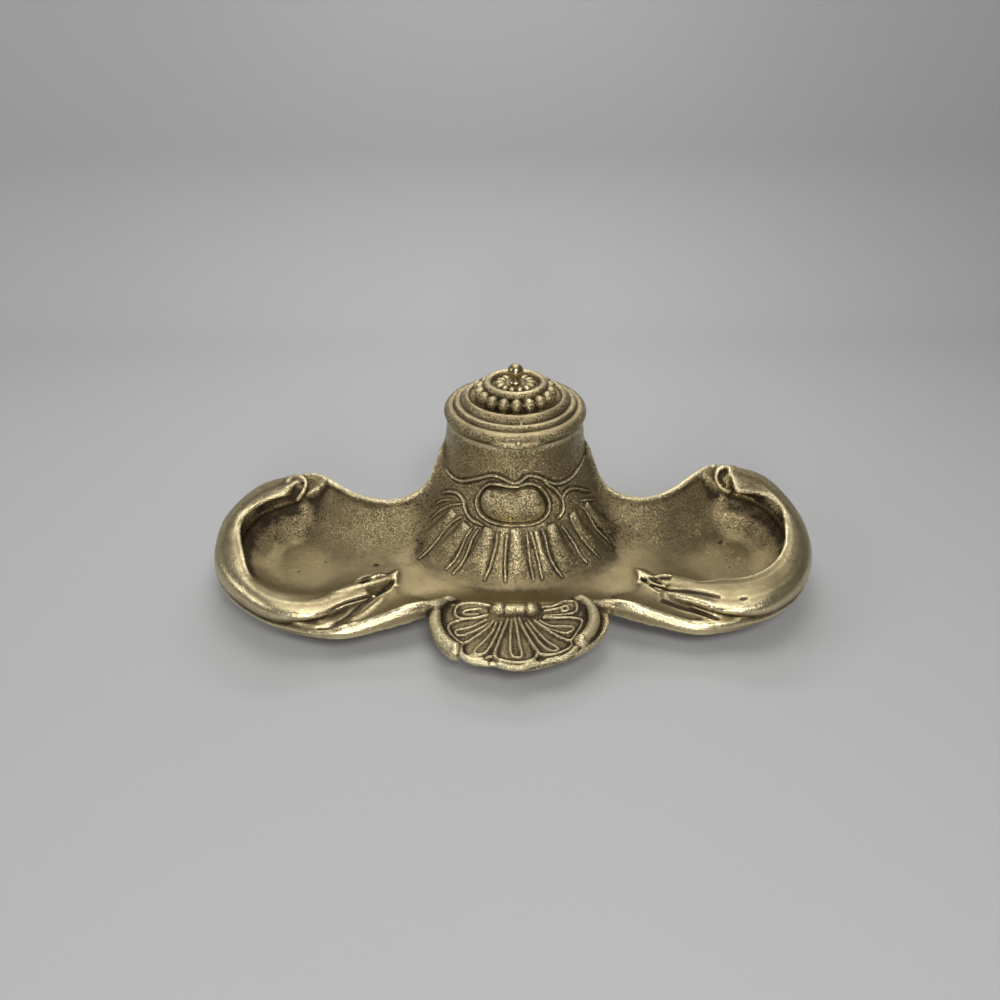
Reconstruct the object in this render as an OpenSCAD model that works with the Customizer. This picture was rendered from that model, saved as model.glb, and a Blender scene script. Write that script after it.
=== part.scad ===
// Desk inkstand: a cast tray with two pen bowls, a shell and a round neck that holds an ink pot
// under a hinged lid. All sizes are millimetres. The origin is on the table, in the middle of the
// inkstand's box, +X to the right wing, -Y to the front shell and +Z up.

/* [Tray outline] */
// Reach of each wing from the middle
wing_reach = 125; // [118:0.5:134]
// Reach of the shell in front of the well's axis
shell_reach = 102.5; // [98:0.5:108]
// Height of the wings' back edge above the table
back_edge_h = 26; // [23:0.5:30]
// Height of the rolled rim's ridge at the wing's end
roll_h = 25; // [23:0.5:28]
// Height of the trough floor above the table
floor_h = 9.5; // [8.5:0.5:11]
// Depth of the pen bowls below the trough floor
bowl_drop = 2.2; // [0:0.2:3]
// Thickness of the cast sheet
cast_wall = 2.4; // [1.8:0.1:3.2]
// Radius of the rounded back edge
edge_bead_r = 1.5; // [1.2:0.1:2]
// Thickness of the skirt and of the rolled rim's flat underside
roll_wall = 2.6; // [2:0.1:3.4]

/* [Neck and ink pot] */
// Outside radius of the neck at its rim
neck_r = 29.3; // [28:0.1:32]
// Height of the neck's rim above the table
neck_h = 62.2; // [59:0.2:66]
// How far the drum swells out at its waist line
waist_swell = 2.5; // [1:0.1:4]
// Wall of the neck above the waist
neck_wall = 3; // [2.4:0.1:3.6]
// Width of the ledge that the ink pot's flange rests on
ledge_w = 1.9; // [1.2:0.1:2.4]
// Thickness of that ledge
ledge_t = 3; // [2:0.2:4]
// Outside height of the ink pot
pot_h = 36; // [26:1:44]
// Wall of the ink pot
pot_wall = 2.6; // [2:0.1:3.4]
// Thickness of the ink pot's flange
flange_t = 2.4; // [1.6:0.2:3]

/* [Lid] */
// Radius of the thumb lip's curve at the brim's front
lip_reach = 13.4; // [11:0.2:15]
// How far the lid's brim stands out past the neck
brim_out = 1; // [0.3:0.1:1.6]
// Height of the lid from its brim to its crown
lid_h = 15.3; // [14.5:0.1:17]
// Wall of the lid
lid_wall = 2.6; // [2.2:0.1:3.2]
// Number of beads round the lid
bead_count = 18; // [14:1:22]
// Radius of one bead
bead_r = 2.6; // [2.2:0.05:2.8]
// Number of petals round the finial
petal_count = 14; // [9:1:16]
// Radius of one petal
petal_r = 1.4; // [1:0.1:1.6]
// Radius of the finial's ball
finial_r = 3.4; // [2.6:0.1:4]
// Radius of the finial's screwed stem
finial_stem_r = 1.5; // [1.2:0.1:1.8]

/* [Hinge] */
// Radius of the hinge pin
pin_r = 0.9; // [0.7:0.05:1.2]
// Outside radius of the hinge knuckles
knuckle_r = 2.2; // [2:0.1:2.5]
// Width of the hinge leaves along the pin
hinge_w = 15; // [13:0.5:17]
// Width of the lid leaf's middle knuckle
knuckle_w = 5.6; // [4.5:0.1:6.5]
// Thickness of the hinge leaves
leaf_t = 1.2; // [1:0.1:1.5]
// Length of the neck leaf down the pad
neck_leaf_l = 11; // [10:0.5:13]
// Length of the lid leaf over the brim
lid_leaf_l = 8; // [7:0.5:9]
// Radius of the rivets' shanks
rivet_r = 0.9; // [0.7:0.1:1.1]
// Radius of the rivets' heads
rivet_head_r = 1.7; // [1.5:0.1:2]
// Height of the rivets' heads
rivet_head_h = 0.7; // [0.5:0.1:1]

/* [Feet] */
// Height of the button feet
foot_h = 4.4; // [4:0.1:5.5]
// Largest radius of a foot
foot_r = 5; // [4:0.1:6]
// Radius of a foot's screwed stud
stud_r = 1.6; // [1.2:0.1:2]
// Length of a foot's stud
stud_l = 4.6; // [3:0.1:5]
// Place of the front feet, sideways from the middle
front_foot_x = 60; // [54:1:64]
// Place of the front feet, in front of the well's axis
front_foot_y = 64; // [60:1:67]
// Direction of the back feet round the neck, from the side
back_foot_angle = 50; // [40:1:60]

/* [Clearances] */
// Running clearance round the hinge pin
pin_gap = 0.05; // [0.02:0.01:0.1]
// Clearance between the lid and the neck
lid_gap = 0.3; // [0.3:0.05:0.6]
// Clearance beside the hinge knuckles
side_gap = 0.2; // [0.15:0.05:0.3]
// Clearance round screws, rivets and the ink pot
fit_gap = 0.15; // [0.1:0.05:0.3]

/* [Hidden] */
$fn = 72;

// The hinge axis runs behind the brim, and the row's origin is midway between shell and hinge
lid_z = neck_h + lid_gap;
lid_r = neck_r + brim_out;
axis_y = lid_r + knuckle_r + 0.9;
axis_z = lid_z + 1.6;
back_reach = axis_y + knuckle_r;
well_y = (shell_reach - back_reach) / 2;

// The neck's own levels
bore_r = neck_r - neck_wall;
ledge_r = bore_r - ledge_w;
seat_z = neck_h - flange_t - 0.6;
waist_r = neck_r + waist_swell;
waist_z = neck_h - 18.7;
drum_foot_z = neck_h - 28;
pad_y = axis_y - knuckle_r;
pad_half = hinge_w / 2 + 1;

// The tray's plan stretches with these from the sizes it was drawn at
stretch_x = wing_reach / 125;
stretch_y = shell_reach / 102.5;
lift_back = back_edge_h - 26;
lift_roll = roll_h - 25;
lift_floor = floor_h - 9.5;
function place(p, lift = 0) = [p[0] * stretch_x, p[1] * stretch_y, p[2] + lift];
function place_all(list, lift = 0) = [for (p = list) place(p, lift)];

// Curve through hand chosen points, n steps for each span
function curve_at(p, i, t) =
    let (a = p[max(i - 1, 0)], b = p[i], c = p[i + 1], d = p[min(i + 2, len(p) - 1)])
    0.5 * (2 * b + (c - a) * t + (2 * a - 5 * b + 4 * c - d) * t * t
        + (3 * b - a - 3 * c + d) * t * t * t);
function curve(p, n) = concat([for (i = [0:len(p) - 2], k = [0:n - 1]) curve_at(p, i, k / n)],
    [p[len(p) - 1]]);
function flat(p) = [p[0], p[1]];
function mirrored(p) = [-p[0], p[1], p[2]];
function unit(v) = v / norm(v);
function clamped(v, low, high) = min(max(v, low), high);
function eased(v, low, high) =
    let (t = clamped((v - low) / (high - low), 0, 1)) t * t * (3 - 2 * t);

// Rails of the right half, from the well's axis: the thin back edge, the rolled rim's inner
// foot, ridge and outer foot, the lip in front of the trough and the thin bottom edge
back_edge = concat([[waist_r - 0.8, 0, waist_z + 0.4], [waist_r + 2.2, -6, neck_h - 23.6]],
    place_all([[39, -10, 32], [48, -12.5, 27.5], [59, -12, 26], [71, -6, 26], [81, 2, 27],
    [89, 7, 28], [97, 8, 28]], lift_back));
roll_inner = place_all([[95, -3, 22], [109, -10.5, 20], [115.3, -22, 18], [115, -37.7, 17],
    [109, -49, 15.5], [100, -56.5, 15], [88, -60, 14], [78, -58, 13.2], [68, -52.5, 11.6],
    [60.5, -47.5, 10.4], [52, -46, 9.4]], lift_roll);
roll_ridge = place_all([[97, 2.5, 29.5], [111, -5, 27.5], [118.5, -22, 25.5], [119, -38, 24.5],
    [114, -53, 23.6], [105, -65.5, 22.8], [92, -73.5, 21.8], [79, -73, 19.5], [70.5, -66, 16.6],
    [61.5, -55.5, 13.2], [51, -47, 10.2]], lift_roll);
roll_outer = place_all([[98, 8.2, 27], [115, 4.5, 24], [124.8, -14, 20.5], [125, -34, 17.5],
    [120, -51, 15], [109, -65, 13.4], [93, -76, 13.6], [77, -77, 15.6], [67.5, -69.5, 14.2],
    [58, -59, 11.6], [50.3, -47.8, 9.6]], lift_roll);
front_lip = place_all([[125, -26, 18.6], [122.5, -44, 15.6], [113, -61, 13.6], [98, -73.5, 13],
    [84, -78.4, 14], [72, -79.6, 13.6], [64.3, -78.8, 13.4], [55.1, -76.2, 14.8],
    [48.5, -74.6, 16.6], [41.8, -72.4, 17.8], [34.4, -69.6, 16.6], [28, -67.5, 14]], lift_floor);
skirt_edge = place_all([[124.6, -27, 17.6], [121.5, -45, 13.6], [111.5, -61, 10.4],
    [97, -72.5, 9], [83.7, -78.5, 8.5], [70.9, -81.3, 8.5], [64, -80.8, 8.6], [56, -78.4, 9],
    [49, -76.4, 9.6], [42, -74.4, 10.4], [35, -71.6, 11], [28, -69.5, 11]], lift_floor);
shell_y = -66 * stretch_y;

// Height of the tray's top above a point of its plan. Each bank falls away inwards from its
// curve, and holds the curve's height on the curve's left, which is outside the tray
edge_curve = curve(back_edge, 2);
bed_curve = curve([for (k = [0:9]) roll_inner[k] * 0.72 + roll_ridge[k] * 0.28
    - [0, 0, (roll_ridge[k][2] - roll_inner[k][2]) * 0.28]], 3);
lip_curve = curve(concat([for (i = [8:len(front_lip) - 1]) front_lip[i]],
    [[0, shell_y, 13.6 + lift_floor]]), 2);
function near_span(q, a, b) =
    let (d = flat(b) - flat(a), v = q - flat(a), t = clamped(v * d / (d * d), 0, 1),
        left = d[0] * v[1] - d[1] * v[0] > 0)
    [norm(v - d * t), a[2] + (b[2] - a[2]) * t, left];
function near_curve(q, path) =
    let (all = [for (i = [0:len(path) - 2]) near_span(q, path[i], path[i + 1])],
        best = min([for (e = all) e[0]]))
    [for (e = all) if (e[0] == best) e][0];
function bank(near, width, base, power) =
    max(near[1] - base, 0) * pow(near[2] ? 1 : max(1 - near[0] / width, 0), power);
apron_w = 24.5;
apron_power = 1.9;
apron_lap = 11;
apron_rise = waist_z - floor_h - 0.5;
function apron_z(r) = apron_rise * pow(clamped(1 - (r - waist_r) / apron_w, 0, 1), apron_power);
function apron_r(z) = waist_r + apron_w * (1 - pow(clamped((z - floor_h) / apron_rise, 0, 1),
    1 / apron_power));
function ground(x) = floor_h - bowl_drop * eased(x, 45, 82);
function top_z(x, y) =
    let (q = [abs(x), y], base = ground(q[0]), apron = apron_z(norm(q)),
        back = bank(near_curve(q, edge_curve), 25, base, 2),
        bowl = q[0] < 50 ? 0 : bank(near_curve(q, bed_curve), 17, base, 2),
        lip = bank(near_curve(q, lip_curve), 14, base, 2))
    base + pow(pow(apron, 3) + pow(back, 3) + pow(bowl, 3) + pow(lip, 3), 1 / 3);

// Closed solid from rings of points, each ring with the same count
module ring_solid(rings) {
    n = len(rings[0]);
    last = len(rings) - 1;
    polyhedron(points = [for (ring = rings) for (p = ring) p],
        faces = concat(
            [for (i = [0:last - 1], k = [0:n - 1])
                [i * n + k, i * n + (k + 1) % n, (i + 1) * n + (k + 1) % n]],
            [for (i = [0:last - 1], k = [0:n - 1])
                [i * n + k, (i + 1) * n + (k + 1) % n, (i + 1) * n + k]],
            [[for (k = [n - 1:-1:0]) k]],
            [[for (k = [0:n - 1]) last * n + k]]));
}

// Block under the tray's top on a plain grid, lowered by the sheet's own thickness if asked
grid_step = 7;
under_step = 11;
block_ends = [wing_reach, -shell_reach + 18, 14];
module block_under_top(step, wall) {
    nx = ceil(2 * block_ends[0] / step);
    ny = ceil((block_ends[2] - block_ends[1]) / step);
    xs = [for (i = [0:nx]) block_ends[0] * (2 * i / nx - 1)];
    ys = [for (j = [0:ny]) block_ends[1] + (block_ends[2] - block_ends[1]) * j / ny];
    tops = [for (x = xs) [for (y = ys) top_z(x, y)]];
    function slope(i, j) =
        let (i0 = max(i - 1, 0), i1 = min(i + 1, nx), j0 = max(j - 1, 0), j1 = min(j + 1, ny))
        norm([(tops[i1][j] - tops[i0][j]) / (xs[i1] - xs[i0]),
            (tops[i][j1] - tops[i][j0]) / (ys[j1] - ys[j0])]);
    upper = [for (i = [0:nx]) for (j = [0:ny])
        [xs[i], ys[j], tops[i][j] - wall * sqrt(1 + min(pow(slope(i, j), 2), 8))]];
    m = ny + 1;
    border = concat([for (i = [0:nx - 1]) i * m], [for (j = [0:ny - 1]) nx * m + j],
        [for (i = [nx:-1:1]) i * m + ny], [for (j = [ny:-1:1]) j]);
    edge = len(border);
    count = len(upper);
    polyhedron(points = concat(upper, [for (k = border) [upper[k][0], upper[k][1], -5]]),
        faces = concat(
            [for (i = [0:nx - 1], j = [0:ny - 1]) [i * m + j, i * m + j + 1, (i + 1) * m + j + 1]],
            [for (i = [0:nx - 1], j = [0:ny - 1]) [i * m + j, (i + 1) * m + j + 1, (i + 1) * m + j]],
            [for (k = [0:edge - 1])
                [border[k], border[(k + 1) % edge], count + (k + 1) % edge, count + k]],
            [[for (k = [0:edge - 1]) count + k]]));
}

// Plan of the sheet: it ends inside the back edge's bead, the rolled rim and the front lip
module sheet_plan() {
    rim = [for (p = curve([for (k = [0:10]) (roll_inner[k] + roll_ridge[k]) / 2], 2)) flat(p)];
    front = [for (p = curve([for (k = [9:len(front_lip) - 1]) front_lip[k]], 2)) flat(p)];
    half = concat([[0, 0]], [for (p = edge_curve) flat(p)], rim, front, [[0, shell_y - 3]]);
    polygon(half);
    mirror([1, 0]) polygon(half);
}

module sheet() {
    intersection() {
        difference() {
            block_under_top(grid_step, 0);
            block_under_top(under_step, cast_wall);
        }
        linear_extrude(neck_h)
            difference() {
                sheet_plan();
                circle(r = waist_r - 1.4, $fn = 40);
                polygon(concat([[0, 0]], [for (a = [-72:12:72])
                    (waist_r + apron_lap) * [sin(a), -cos(a)]]));
            }
    }
}

// Folded web between the rolled rim's tail and the front lip
module fold() {
    tail = curve([roll_outer[10] + [-2.6, 1.4, -0.2], roll_outer[10], roll_outer[9], roll_outer[8],
        roll_outer[7], roll_outer[6] + [0, 1.6, 0.6]], 2);
    lip = curve([front_lip[10] + [-3, 1.2, -1.2], front_lip[10], front_lip[8], front_lip[6],
        front_lip[5], front_lip[3] + [-5, -0.6, 0.4]], 2);
    last = len(tail) - 1;
    ring_solid([for (i = [last:-1:0])
        let (a = tail[i] + [-0.3, 0.5, 0.3], b = lip[i] - [0.2, 0.4, 0.3],
            sag = [0, 0, -4.2 * pow(1 - i / last, 1.3)], top = [a, (a + b) / 2 + sag, b])
        concat(top, [for (k = [2:-1:0]) top[k] - [0, 0, cast_wall]])]);
}

// Round bar along a path, with a radius at each of its points
module bar(path, radii, sides = 8) {
    last = len(path) - 1;
    ring_solid([for (i = [0:last])
        let (along = unit(path[min(i + 1, last)] - path[max(i - 1, 0)]),
            across = unit(cross(along, [0, 0, 1])), up = cross(across, along))
        [for (k = [0:sides - 1]) path[i]
            + radii[i] * (cos(360 * k / sides) * across + sin(360 * k / sides) * up)]]);
}

// Rolled rim: an arch over the inner foot, the ridge and the outer foot, with a keel in the sheet
module rolled_rim() {
    inner = curve(roll_inner, 2);
    ridge = curve(roll_ridge, 2);
    outer = curve(roll_outer, 2);
    ring_solid([for (i = [0:len(ridge) - 1])
        let (a = inner[i], c = outer[i], middle = (a + c) / 2, rise = ridge[i] - middle)
        concat([for (t = [0:36:180]) middle + (a - c) / 2 * cos(t) + rise * pow(sin(t), 0.8)],
            [middle - [0, 0, roll_wall], a * 0.8 + c * 0.2 - [0, 0, roll_wall + 1.4]])]);
}

// Outer face of the tray, from the rolled rim's foot or the front lip down to the thin edge
module skirt() {
    upper = curve(front_lip, 2);
    lower = curve(skirt_edge, 2);
    last = len(upper) - 1;
    ring_solid([for (i = [0:last])
        let (a = upper[i], b = lower[i],
            along = unit(upper[min(i + 1, last)] - upper[max(i - 1, 0)]),
            out = unit(cross([0, 0, 1], along)), inward = -out * roll_wall)
        [a + inward - [0, 0, 1.6], a + inward * 0.5 + [0, 0, 0.2], a + out * 0.3,
            (a + b) / 2 + out * 0.7, b, b + inward * 0.6]]);
}

// Scroll at the start of a rolled rim, with the back edge curling over it
module scroll_start() {
    hull() {
        translate(place([96.5, 1.5, 25.4], lift_roll)) sphere(r = 3.9, $fn = 8);
        translate(place([103, 0.5, 25], lift_roll)) sphere(r = 4.2, $fn = 8);
    }
    crest = place_all([[90, 7.4, 27], [95, 7.3, 27.8], [96, 4.6, 28.9], [94.2, 2, 28.8],
        [92.4, -1.5, 27], [93, -6, 22.5]], lift_back);
    cord_ridge(crest, edge_bead_r + 0.1);
}

// Ridge of hulled balls along a path
module cord_ridge(path, r) {
    for (i = [0:len(path) - 2])
        hull() {
            translate(path[i]) sphere(r = r, $fn = 6);
            translate(path[i + 1]) sphere(r = r, $fn = 6);
        }
}

// Point of the apron's surface at a height, turned by an angle from the front
function on_apron(angle, z, proud = 0) =
    let (r = z > waist_z ? waist_r - waist_swell * pow(min((z - waist_z) / 12, 1), 0.8)
        : apron_r(z)) [(r + proud) * sin(angle), -(r + proud) * cos(angle), z];

// Flutes that fan out below the cartouche, each a long boss on the apron's slope
flute_angles = [-45, -32, -19, -9, 1, 12, 22, 33, 43];
module flutes() {
    for (a = flute_angles)
        hull() {
            translate(on_apron(a * 0.88, waist_z - 15, -1.2)) sphere(r = 2.4, $fn = 6);
            translate(on_apron(a * 0.97, floor_h + 7, -1.8)) sphere(r = 2.8, $fn = 6);
            translate(on_apron(a, floor_h + 1.2, -1.6)) sphere(r = 2, $fn = 6);
        }
}

// Cartouche: a pillow on the apron with a ring round it, under the waist's wavy line
module cartouche() {
    translate(on_apron(-1.5, waist_z - 6.5, -1.5)) rotate([62, 0, 0])
        scale([1, 0.55, 0.3]) sphere(r = 12.4, $fn = 12);
    ring = [for (t = [0:30:330]) on_apron(-1.5 + 25.5 * cos(t), waist_z - 6.3 + 7.8 * sin(t))];
    cord_ridge(concat(ring, [ring[0]]), 0.9);
    wave = [for (p = [[-68, -1.6], [-52, -2.2], [-38, -1], [-26, 2.6], [-16, 4.4], [-7, 2.6],
        [0, 1.2], [8, 4.4], [17, 3.8], [28, 0], [40, -1.2], [52, 0], [64, 3]])
        on_apron(p[0], waist_z + p[1])];
    cord_ridge(wave, 0.8);
}

// Shell in front of the trough: a lobed plate with petals, two knobs and a scroll on each side
shell_z = 13.2 + lift_floor;
module shell() {
    fan = place([0, -70, shell_z]);
    half = curve(place_all([[30, -66, 0], [34, -72, 0], [33.6, -79, 0], [29, -86.5, 0],
        [21.5, -93, 0], [12, -98.5, 0], [0, -102, 0]]), 2);
    translate([0, 0, shell_z - 3.2]) linear_extrude(3.2)
        polygon(concat([[0, shell_y + 4], [28, shell_y + 4]], [for (p = half) flat(p)],
            [for (k = [len(half) - 2:-1:0]) [-half[k][0], half[k][1]]], [[-28, shell_y + 4]]));
    for (a = [-78:26:78])
        hull() {
            translate(fan + [6 * sin(a), -6 * cos(a), -0.6]) sphere(r = 1.2, $fn = 6);
            translate(fan + [24 * sin(a), -24 * cos(a), -2.9]) sphere(r = 4.6, $fn = 8);
        }
    border = [for (t = [-60:15:60])
        let (r = 29.4 + 1.4 * cos(t * 9)) place([r * 0.9 * sin(t), -70 - r * cos(t), 12.9], lift_floor)];
    cord_ridge(border, 1.9);
    for (side = [-1, 1]) {
        translate(fan + [side * 7.6, 0.8, 0.2]) sphere(r = 3, $fn = 10);
        scroll = place_all([[29.5, -69.5, 13.6], [33, -76, 13.8], [31.6, -84, 13.4],
            [26.5, -90, 13]], lift_floor);
        cord_ridge([for (p = scroll) [side * p[0], p[1], p[2]]], 2.9);
    }
}

// Neck: a drum with a ledge inside for the ink pot, closed behind down to the feet
apron_levels = [0, 6, 13, 21, 29];
neck_sides = 36;
module neck() {
    rotate_extrude($fn = neck_sides)
        polygon([[ledge_r, seat_z - ledge_t], [ledge_r, seat_z],
            [neck_r - 2, seat_z], [neck_r - 2, neck_h], [neck_r - 0.5, neck_h],
            [neck_r, neck_h - 0.5], [neck_r, neck_h - 4], [neck_r + 0.5, neck_h - 9],
            [waist_r - 0.8, waist_z + 3], [waist_r, waist_z], [waist_r + 0.8, drum_foot_z],
            [waist_r - 1.6, drum_foot_z], [bore_r, waist_z], [bore_r, seat_z - ledge_t]]);
    rotate([0, 0, -18]) rotate_extrude(angle = 216, $fn = neck_sides)
        polygon([[waist_r - 1.8, drum_foot_z + 4.4], [waist_r + 0.6, drum_foot_z + 4.4],
            [waist_r + 1.6, floor_h + 2], [waist_r + 0.6, floor_h - 1],
            [waist_r - 2, floor_h - 1]]);
    apron_top = [for (h = apron_levels) [apron_r(waist_z - h), waist_z - h]];
    rotate([0, 0, 192]) rotate_extrude(angle = 156, $fn = neck_sides)
        polygon(concat(apron_top, [for (k = [len(apron_top) - 1:-1:0])
            [max(apron_top[k][0] - cast_wall * 1.2, waist_r - 1.2), apron_top[k][1] - cast_wall * 0.4]]));
}

// Places of the feet from the well's axis
back_foot_r = waist_r - 3.4;
foot_places = [[-front_foot_x, -front_foot_y], [front_foot_x, -front_foot_y],
    [-back_foot_r * cos(back_foot_angle), back_foot_r * sin(back_foot_angle)],
    [back_foot_r * cos(back_foot_angle), back_foot_r * sin(back_foot_angle)]];
boss_r = stud_r + 2.8;
boss_top = [for (p = foot_places) p[1] < 0 ? top_z(p[0], p[1]) - 0.8 : floor_h + 6];

// Rivets of the hinge leaves, as places along the pin and away from the axis
rivet_x = hinge_w / 2 - 3;
neck_rivet_z = axis_z - neck_leaf_l + 2.6;
lid_rivet_y = axis_y - lid_leaf_l - knuckle_r + 2.6;
leaf_top = axis_z + knuckle_r;
leaf_under = leaf_top - leaf_t;
neck_shank_l = 2.6;
lid_shank_l = leaf_under - lid_z - 0.6;

module tray_right() {
    path = [for (k = [2:len(edge_curve) - 1]) edge_curve[k] + [0.1, 0.3, -edge_bead_r * 0.5]];
    bar(path, [for (p = path) edge_bead_r], 6);
    rolled_rim();
    skirt();
    fold();
    scroll_start();
}

module tray() {
    color([0.55, 0.47, 0.27])
    translate([0, well_y, 0])
    difference() {
        union() {
            sheet();
            tray_right();
            mirror([1, 0, 0]) tray_right();
            flutes();
            cartouche();
            shell();
            neck();
            for (k = [0:3])
                translate([foot_places[k][0], foot_places[k][1], foot_h])
                    cylinder(h = boss_top[k] - foot_h, r = boss_r, $fn = 16);
            translate([-pad_half, 0, neck_rivet_z - 3.4])
                cube([2 * pad_half, pad_y, neck_h - neck_rivet_z + 2.6]);
        }
        translate([0, 0, seat_z - ledge_t - 20]) cylinder(h = 21 + ledge_t, r = ledge_r, $fn = neck_sides);
        translate([0, 0, seat_z]) cylinder(h = neck_h, r = neck_r - 2, $fn = neck_sides);
        translate([0, 0, -1]) cylinder(h = waist_z - 5, r = bore_r - 0.4, $fn = neck_sides);
        for (side = [-1, 1])
            translate([side * rivet_x, pad_y + 1, neck_rivet_z]) rotate([90, 0, 0])
                cylinder(h = neck_shank_l + 1.4, r = rivet_r + fit_gap, $fn = 16);
        for (p = foot_places)
            translate([p[0], p[1], foot_h - 1])
                cylinder(h = stud_l + 1.4, r = stud_r + fit_gap, $fn = 20);
    }
}

// Ink pot that hangs in the neck by its flange
pot_r = ledge_r - fit_gap * 2;
flange_r = neck_r - 2 - fit_gap * 2;
pot_floor = seat_z + flange_t - pot_h;
module ink_pot() {
    color([0.86, 0.9, 0.88, 0.6])
    translate([0, well_y, 0])
    rotate_extrude()
        polygon([[0, pot_floor], [pot_r - 2, pot_floor], [pot_r, pot_floor + 2], [pot_r, seat_z],
            [flange_r, seat_z], [flange_r, seat_z + flange_t], [pot_r - pot_wall, seat_z + flange_t],
            [pot_r - pot_wall, pot_floor + pot_wall + 4], [pot_r - pot_wall - 4, pot_floor + pot_wall],
            [0, pot_floor + pot_wall]]);
}

// Lid: tiers that rise to a beaded crown, a dish of petals round the finial and a thumb lip.
// A point of its profile moves with the brim's radius and with the lid's height
function across(r) = r * lid_r / 30.3;
function tier(r, z) = [across(r), lid_z + z * lid_h / 15.3];
crown_z = lid_z + lid_h;
roll_ring_r = 11.8;
roll_ring_tube = 1.7;
dish_z = tier(0, 14.3)[1];
bead_z = tier(0, 11.5)[1];
inside_z = tier(0, 10.6)[1];
module lid_outside() {
    rotate_extrude()
        polygon(concat([tier(0, 5), tier(20, 0), tier(29.8, 0), tier(30.3, 0.8), tier(30.3, 2.2),
            tier(29.8, 3.4), tier(28.9, 4.4), tier(27.8, 4.9), tier(26.6, 4.9), tier(25.9, 5.4),
            tier(25.6, 6.2), tier(24.9, 6.7), tier(23.6, 6.5), tier(22.9, 7.1), tier(22.5, 7.9),
            tier(21.6, 8.8), tier(20.6, 9.3), tier(19.8, 9), tier(19.2, 8.6), tier(17.5, 9.5),
            tier(15.6, 9.9), tier(14.2, 11.4), tier(13.6, 12.4)],
            [for (t = [-15:35:160])
                tier(roll_ring_r + roll_ring_tube * cos(t), 15.3 - roll_ring_tube * (1 - sin(t)))],
            [tier(9.4, 13), tier(8.4, 13), tier(5, 14.1), [0, dish_z]]));
}
module lid_inside() {
    rotate_extrude()
        polygon([tier(0, -1), tier(25.9, -1), tier(22.7, 1.4),
            tier(21.6 - lid_wall, 4), tier(18 - lid_wall / 2, 5.6),
            tier(13.3 - lid_wall / 2, 10), [across(9), inside_z], [0, inside_z]]);
}
module lid() {
    color([0.6, 0.51, 0.29])
    translate([0, well_y, 0])
    difference() {
        union() {
            lid_outside();
            for (k = [0:bead_count - 1])
                rotate([0, 0, 360 * k / bead_count]) translate([across(16.9), 0, bead_z])
                    sphere(r = bead_r, $fn = 24);
            for (k = [0:petal_count - 1])
                rotate([0, 0, 360 * (k + 0.5) / petal_count]) translate([across(6.8), 0, dish_z - 0.9])
                    sphere(r = petal_r, $fn = 24);
            translate([0, lip_reach - lid_r - 2.4, lid_z]) cylinder(h = 2.2, r = lip_reach);
        }
        lid_inside();
        translate([0, 0, lid_z]) cylinder(h = lid_h + 10, r = finial_stem_r + fit_gap);
        translate([-hinge_w / 2 - fit_gap, axis_y - knuckle_r - lid_leaf_l - fit_gap, leaf_under])
            cube([hinge_w + 2 * fit_gap, 40, lid_h]);
        translate([-pad_half, lid_r - 0.4, lid_z - 1]) cube([2 * pad_half, 10, lid_h]);
        for (side = [-1, 1])
            translate([side * rivet_x, lid_rivet_y, leaf_under - lid_shank_l - fit_gap])
                cylinder(h = lid_shank_l + 1, r = rivet_r + fit_gap, $fn = 32);
    }
}

// Finial: a turned ball on a collar, with a screwed stem down through the crown
collar_z = dish_z;
finial_z = crown_z + 3.8;
module finial() {
    color([0.66, 0.57, 0.33])
    translate([0, well_y, 0]) {
        rotate_extrude()
            polygon(concat([[0, collar_z - 8], [finial_stem_r, collar_z - 8],
                [finial_stem_r, collar_z], [2.8, collar_z], [2.6, collar_z + 0.7],
                [1.9, collar_z + 1.3], [1.5, finial_z - finial_r + 0.8]], [[0, finial_z]]));
        translate([0, 0, finial_z]) sphere(r = finial_r, $fn = 48);
    }
}

// Washer and nut that hold the finial inside the lid
washer_t = 0.8;
module finial_washer() {
    color([0.5, 0.43, 0.25])
    translate([0, well_y, inside_z - washer_t])
        difference() {
            cylinder(h = washer_t, r = 4.6);
            translate([0, 0, -1]) cylinder(h = 3, r = finial_stem_r + fit_gap);
        }
}
module finial_nut() {
    color([0.62, 0.54, 0.32])
    translate([0, well_y, inside_z - washer_t - 2.2])
        difference() {
            cylinder(h = 2.2, r = 3.6, $fn = 6);
            translate([0, 0, -1]) cylinder(h = 5, r = finial_stem_r + 0.05);
        }
}

// Knuckle of a hinge leaf between two places along the pin
module knuckle(x0, x1) {
    translate([x0, axis_y, axis_z]) rotate([0, 90, 0]) cylinder(h = x1 - x0, r = knuckle_r);
}
module pin_bore() {
    translate([-hinge_w, axis_y, axis_z]) rotate([0, 90, 0])
        cylinder(h = 2 * hinge_w, r = pin_r + pin_gap);
}
mid = knuckle_w / 2;

module lid_hinge_leaf() {
    color([0.58, 0.5, 0.3])
    translate([0, well_y, 0])
    difference() {
        union() {
            knuckle(-mid, mid);
            translate([-mid, axis_y - knuckle_r - 0.6, leaf_under])
                cube([knuckle_w, knuckle_r + 0.6, leaf_t]);
            translate([-hinge_w / 2, axis_y - knuckle_r - lid_leaf_l, leaf_under])
                cube([hinge_w, lid_leaf_l - 0.6, leaf_t]);
        }
        pin_bore();
        for (side = [-1, 1])
            translate([side * rivet_x, lid_rivet_y, leaf_under - 1])
                cylinder(h = leaf_t + 2, r = rivet_r + fit_gap, $fn = 32);
    }
}

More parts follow.
